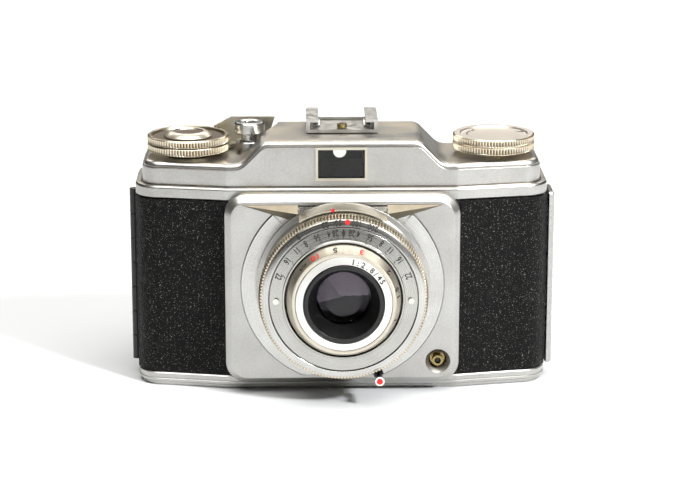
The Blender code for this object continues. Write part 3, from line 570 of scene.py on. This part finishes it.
def makeCover():
    s = coverSettings
    low, band = bodyShape["shellTop"], bodyShape["bandTop"]
    wall, rear = s["inset"], s["rearInset"]
    share = rear / wall
    # inset, height and how much dirt lies there
    foot = [(0.3, low, 0.5), (0.0, low + 0.3, 0), (0.0, band - 0.8, 0), (0.05, band - 0.62, 0.7),
            (0.16, band - 0.42, 0), (0.38, band - 0.1, 0), (0.75, band, 0), (wall - 0.5, band, 0.1),
            (wall - 0.3, band - 0.2, 1), (wall - 0.1, band - 0.2, 1), (wall, band + 0.1, 0.7),
            (wall, band + 0.4, 0)]
    levels = [(inset, inset * share, z, 0, dirt) for inset, z, dirt in foot]
    levels += [(wall + turnIn, rear + turnIn, None, s["edge"] + drop, dirt) for turnIn, drop, dirt in (
        (0, 0.42, 0), (0.1, 0.24, 0), (0.22, 0.2, 1), (0.34, 0.2, 1), (0.4, 0.02, 0.5))]
    for k in range(8):
        t = math.pi / 2 * k / 7
        turnIn = 0.4 + s["edge"] * (1 - math.cos(t))
        levels.append((wall + turnIn, rear + turnIn, None, s["edge"] * (1 - math.sin(t)), 0))
    rings = coverRings(levels, coverHeights())
    cover = closedCover("topCover", rings, [[dirt] * len(ring) for ring, (*_, dirt) in zip(rings, levels)])
    sheet = s["sheet"]
    inner = closedCover("coverHollow", coverRings(
        [(wall + sheet, rear + sheet, low - 1, 0, 0), (wall + sheet, rear + sheet, None, 0, 0)],
        coverHeights(-sheet, -sheet * 0.4)))
    releaseY = 14.0
    notch = rounded([(-36, releaseY - 4.75, 0), (-23.2, releaseY - 4.75, 2.0), (-18.8, 24, 3.0),
                     (-18.8, 40, 0), (-36, 40, 0)], 8)
    notchInside = rounded([(-37, releaseY - 5.75, 0), (-22.2, releaseY - 5.75, 2.0), (-17.8, 24, 3.0),
                           (-17.8, 40, 0), (-37, 40, 0)], 8)
    inner = cut(inner, [prismMesh("notchInside", notchInside, s["deck"] - sheet, 90)])
    cover = cut(cover, [prismMesh("notch", notch, s["deck"], 90)])
    tools = [inner, rodMesh(2.5, 60, 80, (-knobX, knobY, 0)), rodMesh(3.5, 60, 80, (knobX, knobY, 0)),
             rodMesh(3.0, 60, 80, (-27, releaseY, 0)), boxMesh((-7.5, -8, 62.9), (7.1, 3, 72.3)),
             rodMesh(3.3, -40, -20, (-0.2, 0, 65.3), toFront)]
    addPiece("topCoverShell", cut(cover, tools), satinChrome, "camera_body", "top_cover")
    print("top cover made")


makeCover()


# Base plate: a shallow tray with a stepped foot and two rolled lines round it

def makeBase():
    levels = [(1.35, 0.0), (1.05, 0.12), (1.0, 0.4), (1.0, 1.0), (0.85, 1.15), (0.3, 1.25), (0.06, 1.45),
              (0.0, 1.75), (0.0, 2.15), (0.16, 2.28), (0.16, 2.42), (0.0, 2.55), (0.0, 3.8), (0.25, 4.1)]
    tray = loftMesh("baseTray", [[(x, y, z) for x, y in planOutline(inset)] for inset, z in levels])
    pocket = loftMesh("basePocket", [[(x, y, z) for x, y in planOutline(2.4)] for z in (1.2, 6.0)])
    tray = cut(tray, [pocket, rodMesh(5.4, -2, 6, (0, knobY, 0))])
    addPiece("basePlateTray", tray, satinChrome, "camera_body", "base_plate")
    print("base plate made")


makeBase()


# Leatherette: strips with soft edges, wrapped round the ends

def stripMesh(name, path, low, high, thickness, edge=0.22):
    section = [(thickness, low), (thickness, high), (edge, high), (0.06, high - 0.08), (0.0, high - edge),
               (0.0, low + edge), (0.06, low + 0.08), (edge, low)]
    rings = []
    for index, here in enumerate(path):
        before = Vector(path[max(index - 1, 0)])
        after = Vector(path[min(index + 1, len(path) - 1)])
        along = (after - before).normalized()
        inward = Vector((-along.y, along.x))
        rings.append([(here[0] + inward.x * depth, here[1] + inward.y * depth, z) for depth, z in section])
    return loftMesh(name, rings)


def makeLeather():
    low, high = bodyShape["baseTop"] + 0.3, bodyShape["shellTop"] - 0.3
    seam, begin = bodyShape["seam"], bodyShape["leatherStart"]
    outline = planOutline(0.0, None, stations(), 12)
    half = len(outline) // 2
    front = outline[:half]
    for name, node, side in (("frontCoveringLeft", "front_leather_left", -1),
                             ("frontCoveringRight", "front_leather_right", 1)):
        run = [p for p in front if p[0] * side > begin + 0.01 and p[1] < seam]
        inner = [(begin * side, frontLine(begin))]
        outer = [(bodyShape["half"] * side, seam - 0.05)]
        path = inner + run + outer if side > 0 else outer + run + inner
        strip = stripMesh(name, path, low, high, bodyShape["leather"])
        addPiece(name, strip, leatherette, "camera_body", node)
    doorLow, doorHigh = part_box("door_leather")
    back = [p for p in outline[half:] if p[1] > doorLow.y / mm]
    path = [(bodyShape["half"], doorLow.y / mm)] + back + [(-bodyShape["half"], doorLow.y / mm)]
    strip = stripMesh("doorCovering", path, doorLow.z / mm, doorHigh.z / mm, bodyShape["leather"])
    addPiece("doorCovering", strip, leatherette, "back_door", "door_leather")
    print("leatherette made")


makeLeather()


# Front plate, the round plate set in it, and the visor

plateSettings = {"half": 34.2, "low": 2.9, "high": 59.8, "back": 4.6, "face": 9.5, "corner": 6.5,
                 "bevel": 1.91, "discRadius": 29.4, "discHole": 20.6, "discFace": 10.05,
                 "visorInside": 24.8, "visorOutside": 25.2}


def makePlate():
    s = plateSettings
    bevel, face = s["bevel"], s["face"]

    def square(inset):
        half, low, high = s["half"] - inset, s["low"] + inset, s["high"] - inset
        corner = s["corner"] - inset
        corners = ((half, high), (-half, high), (-half, low), (half, low))
        return rounded([(x, y, corner) for x, y in corners], 12)

    levels = [(0, s["back"]), (0, face - bevel - 0.2), (0.05, face - bevel - 0.03),
              (0.2, face - bevel + 0.15), (bevel - 0.2, face - 0.26), (bevel - 0.02, face - 0.07),
              (bevel + 0.25, face)]
    plate = loftMesh("plate", [[(x, y, z) for x, y in square(inset)] for inset, z in levels])
    seat = cut(rodMesh(s["discRadius"] + 0.22, face - 1.3, face + 4, (0, lensZ, 0), steps=180),
               [boxMesh((-40, s["low"] + 2.85, 0), (40, s["high"] - 2.85, 30))], "INTERSECT")
    socket = (27.9, 9.8, 0)
    plate = cut(plate, [seat, rodMesh(21.2, 0, 30, (0, lensZ, 0)), rodMesh(2.5, 0, 30, socket, steps=48),
                        rodMesh(2.4, face - 1.7, face + 0.05, socket, steps=48, topRadius=3.7)])
    addPiece("frontPlateShell", moved(plate, toFront), satinChrome, "camera_body", "front_plate")
    disc = moved(turnedMesh("disc", [(s["discHole"], face - 1.0), (s["discRadius"], face - 1.0),
                                     (s["discRadius"], s["discFace"]), (s["discHole"], s["discFace"])],
                            0.2, 180), Matrix.Translation((0, lensZ * mm, 0)))
    disc = cut(disc, [boxMesh((-40, s["low"] + 3.1, 0), (40, s["high"] - 3.2, 30))], "INTERSECT")
    disc = cut(moved(disc, toFront), [nodes["brow_left"], nodes["brow_right"]])
    addPiece("shutterBasePlate", disc, spunPlate, "camera_body", "shutter_base_disc")
    arc = [math.radians(60 + 60 * k / 24) for k in range(25)]
    visor = bandOutline(s["visorInside"], s["visorOutside"], arc)
    rings = [[(x * scale, y * scale, z) for x, y in visor]
             for scale, z in ((1, 11.9), (1, 19.3), (0.998, 19.4))]
    visor = moved(loftMesh("visor", rings), lensPlace)
    addPiece("indexVisor", visor, dullNickel, "camera_body", "index_visor")
    print("front plate made")


makePlate()


# Shutter and lens rings, all turned about the lens axis

lensSettings = {"plane": 24.2, "front": 18.6, "rim": 29.7, "root": 10.35, "teeth": 160}


def makeLensRings():
    plane, front = lensSettings["plane"], lensSettings["front"]
    rim, root = lensSettings["rim"], lensSettings["root"]

    def ring(name, corners, material, node, twist=0.0, **options):
        turn = Matrix.Rotation(math.pi / lensSettings["teeth"] * twist, 4, "Z")
        mesh = moved(turnedMesh(name, corners, **options), lensPlace @ turn)
        return addPiece(name, mesh, material, bodyOf[node], node)

    def fromAxis(place):
        return math.hypot(place.x, place.z - lensZ)

    ring("shutterHousing", [(23.7, front), (23.7, root + 1.4), (25.2, root + 1.1), (25.2, root), (20.3, root),
                            (20.3, 1.7), (12, 1.7), (12, 3.3), (18.8, 3.3), (18.8, front - 1.6),
                            (20, front - 1.6), (20, front)], satinChrome, "shutter_housing", steps=180)
    speed = ring("speedRing", [(23.98, plane - 0.75), (24.4, plane - 3.3), (19, plane - 3.3),
                               (19, plane - 1.6), (21.4, plane - 1.6), (21.4, plane + 0.2),
                               (23.15, plane - 0.35), (23.3, plane - 0.75)], knurledRing,
                 "speed_ring", fillet=0.1,
                 knurls=[{"teeth": lensSettings["teeth"], "depth": 0.5, "radius": 23.4, "low": plane - 3.35,
                          "high": plane - 0.1}])
    repaint(speed.data, spunPlate, lambda place: fromAxis(place) < 23.35)
    ring("apertureRing", [(24.4, front + 2), (24.4, front + 1.2), (19.2, front + 1.2), (19.2, front + 2)],
         knurledRing, "aperture_ring", twist=1.0, fillet=0.08,
         knurls=[{"teeth": lensSettings["teeth"], "depth": 0.5, "radius": 23.6, "low": front + 1.1,
                  "high": front + 2.1}])
    ring("scalePlate", [(21.1, plane), (21.1, plane - 1.2), (18.6, plane - 1.2), (18.6, front - 1.2),
                        (17.9, front - 1.2), (17.9, plane - 2.2), (16.9, plane - 2.2), (16.9, plane + 0.9),
                        (17.4, plane + 0.9), (17.6, plane + 0.5)], spunGrey, "scale_ring", steps=180,
         fillet=0.09)
    ring("focusRing", [(14.95, rim - 0.75), (14.95, rim - 1.3), (16.4, plane + 0.9), (16.4, plane - 1.4),
                       (14, plane - 1.4), (13.85, rim - 0.75)], spunCream, "focus_ring", fillet=0.08,
         knurls=[{"teeth": 180, "depth": 0.3, "radius": 14.5, "low": rim - 1.3, "high": rim - 0.5}])
    ring("nameRing", [(13.7, rim - 0.6), (13.7, rim - 3.4), (11.6, rim - 3.4), (11.6, rim - 0.2)], spunAlloy,
         "lens_front_ring", fillet=0.12, steps=180)
    ring("lensBezel", [(11.3, rim), (11.3, rim - 4.8), (9.2, rim - 5.6), (9.2, rim - 9.6), (7.9, rim - 9.6),
                       (7.9, rim - 6.6), (10.2, rim)], blackEnamel, "lens_bezel", fillet=0.15)
    ring("frontElement", [(0, rim - 4.9), (2.6, rim - 5.05), (5.2, rim - 5.6), (7.6, rim - 6.9),
                          (7.6, rim - 8.6), (0, rim - 8.6)], coatedGlass, "front_lens", fillet=1.5, steps=96,
         arcSteps=5)
    pinTurn = Matrix.Rotation(math.atan2(10.4, 24.2), 4, "Z")
    for name, radius, low, high, material in (("timerPinRing", 1.33, 25.2, 25.36, whiteInk),
                                              ("timerPinCentre", 0.88, 25.3, 25.48, redInk)):
        pin = moved(rodMesh(radius, low, high, (0, -26.3, 0), steps=40), lensPlace @ pinTurn)
        addMark(name, pin, material, "self_timer_lever")
    print("lens rings made")


makeLensRings()


# Knobs on the deck: the rewind knob, and the lever hub with the counter and the reminder dial

knobSettings = {"teeth": 84, "depth": 0.42, "knurlRadius": 11.75, "markLow": 73.14, "markHigh": 73.17}


def makeKnobs():
    s = knobSettings

    def knob(name, corners, node, bands=(), material=knurledKnob, top=None, topRadius=0.0, topLow=0.0,
             **options):
        low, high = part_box(node)
        x, y = (low.x + high.x) / 2, (low.y + high.y) / 2
        knurls = [{"teeth": s["teeth"], "depth": s["depth"], "radius": s["knurlRadius"], "low": a, "high": b}
                  for a, b in bands]
        mesh = moved(turnedMesh(name, corners, knurls=knurls, **options), Matrix.Translation((x, y, 0)))
        addPiece(name, mesh, material, bodyOf[node], node)
        if top:
            repaint(mesh, top, lambda place: (
                place.z > topLow and math.hypot(place.x - x / mm, place.y - y / mm) < topRadius))

    knob("rewindKnob", [(0, 73.15), (9.7, 73.15), (10.0, 73.65), (11.6, 73.65), (12.05, 73.3), (12.05, 71.65),
                        (11.6, 71.5), (11.6, 71.25), (12.05, 71.1), (12.05, 69.35), (11.7, 69.1), (3.2, 69.1),
                        (3.2, 60.5), (2.1, 60.5), (2.1, 72.4), (0, 72.4)], "rewind_knob",
         [(71.6, 73.4), (69.25, 71.15)], top=satinDisc, topRadius=11.4, topLow=73)
    knob("leverHub", [(0, 71.225), (11.8, 71.225), (12.05, 71.0), (12.05, 69.35), (11.7, 69.1), (3.6, 69.1),
                      (3.6, 68), (2.1, 68), (2.1, 55.4), (0, 55.4)], "lever_hub", [(69.25, 71.15)])
    knob("counterKnob", [(11.6, 73.65), (12.05, 73.3), (12.05, 71.75), (11.75, 71.525), (3, 71.525),
                         (3, 72.75), (10.5, 72.75), (10.8, 73.65)], "counter_disc", [(71.6, 73.4)],
         top=agedDisc, topRadius=10.55, topLow=72.6)
    knob("reminderDial", [(0, 74.05), (4.2, 74.05), (4.4, 74.5), (4.9, 74.55), (5.7, 74.3), (6.1, 74.05),
                          (7, 73.35), (7, 73.05), (2.6, 73.05), (2.6, 71.875), (0, 71.875)], "reminder_dial",
         material=spunKnob, fillet=0.06, steps=96, top=agedDisc, topRadius=4.15, topLow=73.9)
    knob("releaseButton", [(0, 74.2), (1.6, 74.2), (1.9, 76.6), (3, 76.9), (4.1, 76.8), (4.5, 76.3),
                           (4.5, 73.7), (4.2, 73.3), (2.5, 73.3), (2.5, 64), (0, 64)], "release_button",
         material=greyNickel, fillet=0.25, steps=72, top=agedDisc, topRadius=1.75, topLow=74)
    knob("releaseCollar", [(3.75, 71.2), (4.05, 70.9), (4.05, 67.7), (2.85, 67.7), (2.85, 71.2)],
         "release_collar", material=greyNickel, fillet=0.12, steps=72)
    # the sunk arrow and notch on the rewind knob's face
    arc = [math.radians(146 + 3 * k) for k in range(14)]
    arrow = bandOutline(7.7, 8.1, arc)
    tip = [(7.2, 0.2), (8.7, -0.2), (7.5, 1.9)]
    turn = Matrix.Rotation(math.radians(133), 4, "Z")
    notch = [(6.6, 3.7), (9.5, 2.2), (9.3, 4.6)]
    marks = [prismMesh("mark", outline, s["markLow"], s["markHigh"]) for outline in (arrow, tip, notch)]
    moved(marks[1], turn)  # the tip goes to the arc's end
    marks = moved(joined("knobMarks", marks), Matrix.Translation((knobX * mm, knobY * mm, 0)))
    addMark("knobMarks", marks, blackInk, "rewind_knob")
    print("knobs made")


makeKnobs()


# Figures: text and marks laid flat on the turned faces, gathered into one mesh for each ring

textSettings = {"capital": 0.7, "bolder": 0.045}  # capital is a letter's height as a share of its size


def textMesh(text, height, narrow=1.0):
    curve = bpy.data.curves.new("figure", "FONT")
    curve.body = text
    curve.size = height / textSettings["capital"] * mm
    curve.align_x = "CENTER"
    curve.align_y = "CENTER"
    curve.offset = textSettings["bolder"] * mm
    curve.extrude = toolSettings["markHalf"] * mm
    curve.resolution_u = 4
    holder = addObject("figure", curve)
    graph = bpy.context.evaluated_depsgraph_get()
    mesh = bpy.data.meshes.new_from_object(holder.evaluated_get(graph), depsgraph=graph)
    bpy.data.objects.remove(holder)
    return moved(mesh, Matrix.Diagonal((narrow, 1, 1, 1)))


def onRing(mesh, angle, radius, height, slope=0.0, inward=True):
    # angle in degrees from the top, positive to the left; slope is how much the face falls outward
    turn = Matrix.Rotation(math.radians(angle), 4, "Z")
    out = Matrix.Translation((0, radius * mm, height * mm)) @ Matrix.Rotation(-slope, 4, "X")
    return moved(mesh, lensPlace @ turn @ out @ Matrix.Rotation(math.pi if inward else 0, 4, "Z"))


def markMesh(outline):
    return prismMesh("mark", outline, -toolSettings["markHalf"], toolSettings["markHalf"])


figureSettings = {"lift": 0.05, "dotSides": 20,
                  "speed": {"height": 1.75, "radius": 22.6, "narrow": 0.8, "dot": 0.75},
                  "scale": {"height": 1.85, "radius": 19.75, "narrow": 0.68, "lineWidth": 0.14,
                            "lineLength": 1.1, "lineRadius": 18.2},
                  "focus": {"height": 2.1, "radius": 15.6},
                  "name": {"height": 1.55, "radius": 12.62},
                  "visorDot": 0.55}


def makeFigures():
    plane, rim = lensSettings["plane"], lensSettings["rim"]
    lift, dotSides = figureSettings["lift"], figureSettings["dotSides"]

    # speed ring, on a face that falls 0.9 over 2.85
    s = figureSettings["speed"]
    slope = math.atan2(0.9, 2.85)

    def speedHeight(radius):
        return plane + 0.2 - (radius - 21.4) * math.tan(slope) + lift

    dark = [onRing(textMesh(text, s["height"], s["narrow"]), angle, s["radius"], speedHeight(s["radius"]),
                   slope)
            for text, angle in (("B", 35), ("25", 13.4), ("50", 3.9), ("100", -9.6), ("200", -21.5))]
    addMark("speedFigures", joined("speedFigures", dark), blackInk, "speed_ring")
    dot = onRing(markMesh(circle(s["dot"], dotSides)), -2.8, 22.7, speedHeight(22.7), slope)
    addMark("speedIndexDot", dot, redInk, "speed_ring")

    # scale plate, on a face that rises 0.5 over 3.5 towards the middle
    s = figureSettings["scale"]
    slope = math.atan2(0.5, 3.5)

    def scaleHeight(radius):
        return plane + (21.1 - radius) * math.tan(slope) + lift

    dark = []
    halfWidth, halfLength = s["lineWidth"] / 2, s["lineLength"] / 2
    line = [(-halfWidth, -halfLength), (halfWidth, -halfLength), (halfWidth, halfLength),
            (-halfWidth, halfLength)]
    for text, angle in (("28", 6.8), ("4", 12.2), ("56", 22.3), ("8", 33), ("11", 42.3), ("16", 54),
                        ("22", 69.3)):
        for side in (-1, 1):
            dark.append(onRing(textMesh(text, s["height"], s["narrow"]), side * angle, s["radius"],
                               scaleHeight(s["radius"]), slope))
            leaning = moved(markMesh(line), Matrix.Rotation(math.radians(-40 * side), 4, "Z"))
            dark.append(onRing(leaning, side * (angle - 1.5), s["lineRadius"],
                               scaleHeight(s["lineRadius"]), slope))
    diamond = markMesh([(0.55, 0), (0, 1.4), (-0.55, 0), (0, -1.4)])
    dark.append(onRing(diamond, 0, 19.5, scaleHeight(19.5), slope))
    addMark("scaleFigures", joined("scaleFigures", dark), blackInk, "scale_ring")

    # focusing ring, on a cone from 16.4 to 14.95
    s = figureSettings["focus"]
    slope = math.atan2(rim - 1.3 - plane - 0.9, 1.45)
    red, dark = [], []

    def coneHeight(radius):
        return rim - 1.3 - (radius - 14.95) * math.tan(slope) + lift * 3

    for text, angle, store in (("∞", 48, dark), ("10", 31, red), ("5", 9, dark), ("3", -19, red),
                               ("2", -55, dark), ("1.5", -80, dark), ("1", -110, dark)):
        store.append(onRing(textMesh(text, s["height"]), angle, s["radius"], coneHeight(s["radius"]), slope))
    addMark("focusFigures", joined("focusFigures", dark), blackInk, "focus_ring")
    addMark("focusFiguresRed", joined("focusFiguresRed", red), redInk, "focus_ring")

    # aperture and focal length on the name ring, reading clockwise with the tops outward
    s = figureSettings["name"]
    slope = math.atan2(0.4, 2.1)
    text = "1:2.8/45"
    dark = []
    for index, letter in enumerate(text):
        angle = -(12 + (59 - 12) * index / (len(text) - 1))
        height = rim - 0.2 - (s["radius"] - 11.6) * math.tan(slope) + lift
        dark.append(onRing(textMesh(letter, s["height"]), angle, s["radius"], height, slope, inward=False))
    addMark("nameFigures", joined("nameFigures", dark), blackInk, "lens_front_ring")
    dot = markMesh(circle(figureSettings["visorDot"], dotSides))
    addMark("visorMark", moved(dot, lensPlace @ Matrix.Translation((-3.0 * mm, 24.95 * mm, 19.42 * mm))),
            redInk, "index_visor")
    print("figures made")


makeFigures()


# Shoe spring: two sprung strips under the lips, joined by a bar at the back

def makeShoeSpring():
    upright = Matrix(((0, 0, 1, 0), (1, 0, 0, 0), (0, 1, 0, 0), (0, 0, 0, 1)))
    along = [12.5 + 11.8 * k / 16 for k in range(17)]
    lift = [75.62 + 0.9 * math.sin(math.pi * min((y - 12.5) / 10.0, 1.0)) for y in along]
    outline = list(zip(along, lift)) + [(y, z + 0.28) for y, z in reversed(list(zip(along, lift)))]
    strips = [moved(prismMesh("strip", outline, low, high), upright)
              for low, high in ((-8.2, -6.2), (6.6, 8.6))]
    bar = boxMesh((-6.3, 22.6, 75.62), (6.7, 24.3, 75.9))
    addPiece("shoeSpring", joined("shoeSpring", strips + [bar]), drawnSteel, "camera_body", "shoe_spring")


makeShoeSpring()


# Materials and soft edges for the pieces that keep their first shape

finishes = {
    # the brows take the darker copy of the nickel: painted shade
    paintedShadeBrowNickel: ["brow_left", "brow_right"],
    polishedChrome: ["scale_screw_left", "scale_screw_right", "tripod_bush"],
    greyNickel: ["latch_bar"],
    softNickel: ["accessory_shoe"],
    dullNickel: ["wind_lever", "viewfinder_bezel"],
    blackEnamel: ["eyepiece_ring", "flash_socket_core", "rear_lens_cell", "door_shell", "pressure_plate",
                  "body_hinge_leaf", "door_hinge_leaf", "self_timer_lever"],
    mattBlack: ["viewfinder_tube"],
    blackPlastic: ["take_up_spool", "sprocket_shaft"],
    castAlloy: ["body_casting"],
    drawnSteel: ["pressure_spring", "hinge_pin", "rewind_shaft"],
    leafSteel: ["shutter_leaf_1"],
    # leaves 2 to 5 take the darker copies of the rolled steel: painted shade on them
    paintedHalfShadeLeafSteel: ["shutter_leaf_2", "shutter_leaf_5"],
    paintedShadeLeafSteel: ["shutter_leaf_3", "shutter_leaf_4"],
    turnedBrass: ["flash_socket", "shoe_stop_screw"],
    clearGlass: ["viewfinder_glass", "viewfinder_eye_lens"],
    coatedGlass: ["rear_lens"],
}
softEdges = {"brow_left": 0.25, "brow_right": 0.25, "accessory_shoe": 0.18, "viewfinder_bezel": 0.12,
             "wind_lever": 0.2, "latch_bar": 0.3, "door_shell": 0.25, "body_hinge_leaf": 0.15,
             "door_hinge_leaf": 0.15, "flash_socket": 0.1, "scale_screw_left": 0.12,
             "scale_screw_right": 0.12, "tripod_bush": 0.2, "eyepiece_ring": 0.2}


def finishFrame():
    for material, members in finishes.items():
        for node in members:
            slots = nodes[node].data.materials
            slots.clear()
            slots.append(material)
            nodes[node].data.update()
    for node, width in softEdges.items():
        soft = nodes[node].modifiers.new("softEdge", "BEVEL")
        soft.width = width * mm
        soft.segments = 2
        soft.limit_method = "ANGLE"
        soft.angle_limit = math.radians(40)
        soft.harden_normals = True
    print("frame finished")


finishFrame()


# Floor, lights and camera

studio = {"floorHalf": 2.0, "floorDrop": 0.02, "floor": "#c8cacc", "fibre": 2 * mm, "fibreDepth": 0.05 * mm,
          "world": "#39352b", "worldStrength": 1.0,
          "lights": (("softboxAbove", (0.0, -0.35, 1.3), (0, 0, 0), 1.5, 1.1, 33, "#fffefa"),
                     ("keyRight", (0.8, -0.8, 0.85), (0, 0, 0.03), 0.16, 0.16, 28, "#ffffff"),
                     ("washBehind", (0.0, 1.15, 0.9), (0, 0.85, 0), 1.8, 0.5, 13, "#fffdf8"))}


def makeStudio():
    s = studio
    shape = bmesh.new()
    bmesh.ops.create_grid(shape, x_segments=8, y_segments=8, size=s["floorHalf"])
    floor = addObject("floor", meshFrom("floor", shape))
    floor.location.z = -s["floorDrop"] * mm
    material, tree, shader, place = startMaterial("whiteCard", {"Base Color": s["floor"], "Roughness": 0.9})
    fibre = addNode(tree, "TexNoise", {"Vector": place, "Scale": 1 / s["fibre"], "Detail": 3}).outputs["Fac"]
    bump = addNode(tree, "Bump", {"Height": fibre, "Strength": 0.05, "Distance": s["fibreDepth"]}).outputs[0]
    setInputs(tree, shader, {"Normal": bump})
    floor.data.materials.append(material)

    world = bpy.data.worlds.new("studio")
    world.use_nodes = True
    setInputs(world.node_tree, world.node_tree.nodes["Background"], {
        "Color": s["world"], "Strength": s["worldStrength"]})
    bpy.context.scene.world = world

    for name, place, target, width, depth, power, colour in s["lights"]:
        lamp = bpy.data.lights.new(name, "AREA")
        lamp.shape = "RECTANGLE"
        lamp.size, lamp.size_y = width, depth
        lamp.energy = power
        lamp.color = hexToLinear(colour)[:3]
        light = addObject(name, lamp)
        light.location = place
        light.rotation_euler = (Vector(target) - Vector(place)).to_track_quat("-Z", "Y").to_euler()


viewpoint = {"place": (-13.47, -674.0, 220.2), "down": 14.723, "right": 1.109, "lens": 125.7}


def makeCamera():
    lens = bpy.data.cameras.new("camera")
    lens.lens = viewpoint["lens"]
    lens.sensor_width = 36.0
    camera = addObject("camera", lens)
    camera.location = Vector(viewpoint["place"]) * mm
    camera.rotation_euler = (math.radians(90 - viewpoint["down"]), 0, math.radians(-viewpoint["right"]))
    bpy.context.scene.camera = camera


makeStudio()
makeCamera()
bpy.context.scene.view_settings.view_transform = "Standard"
print("studio made")
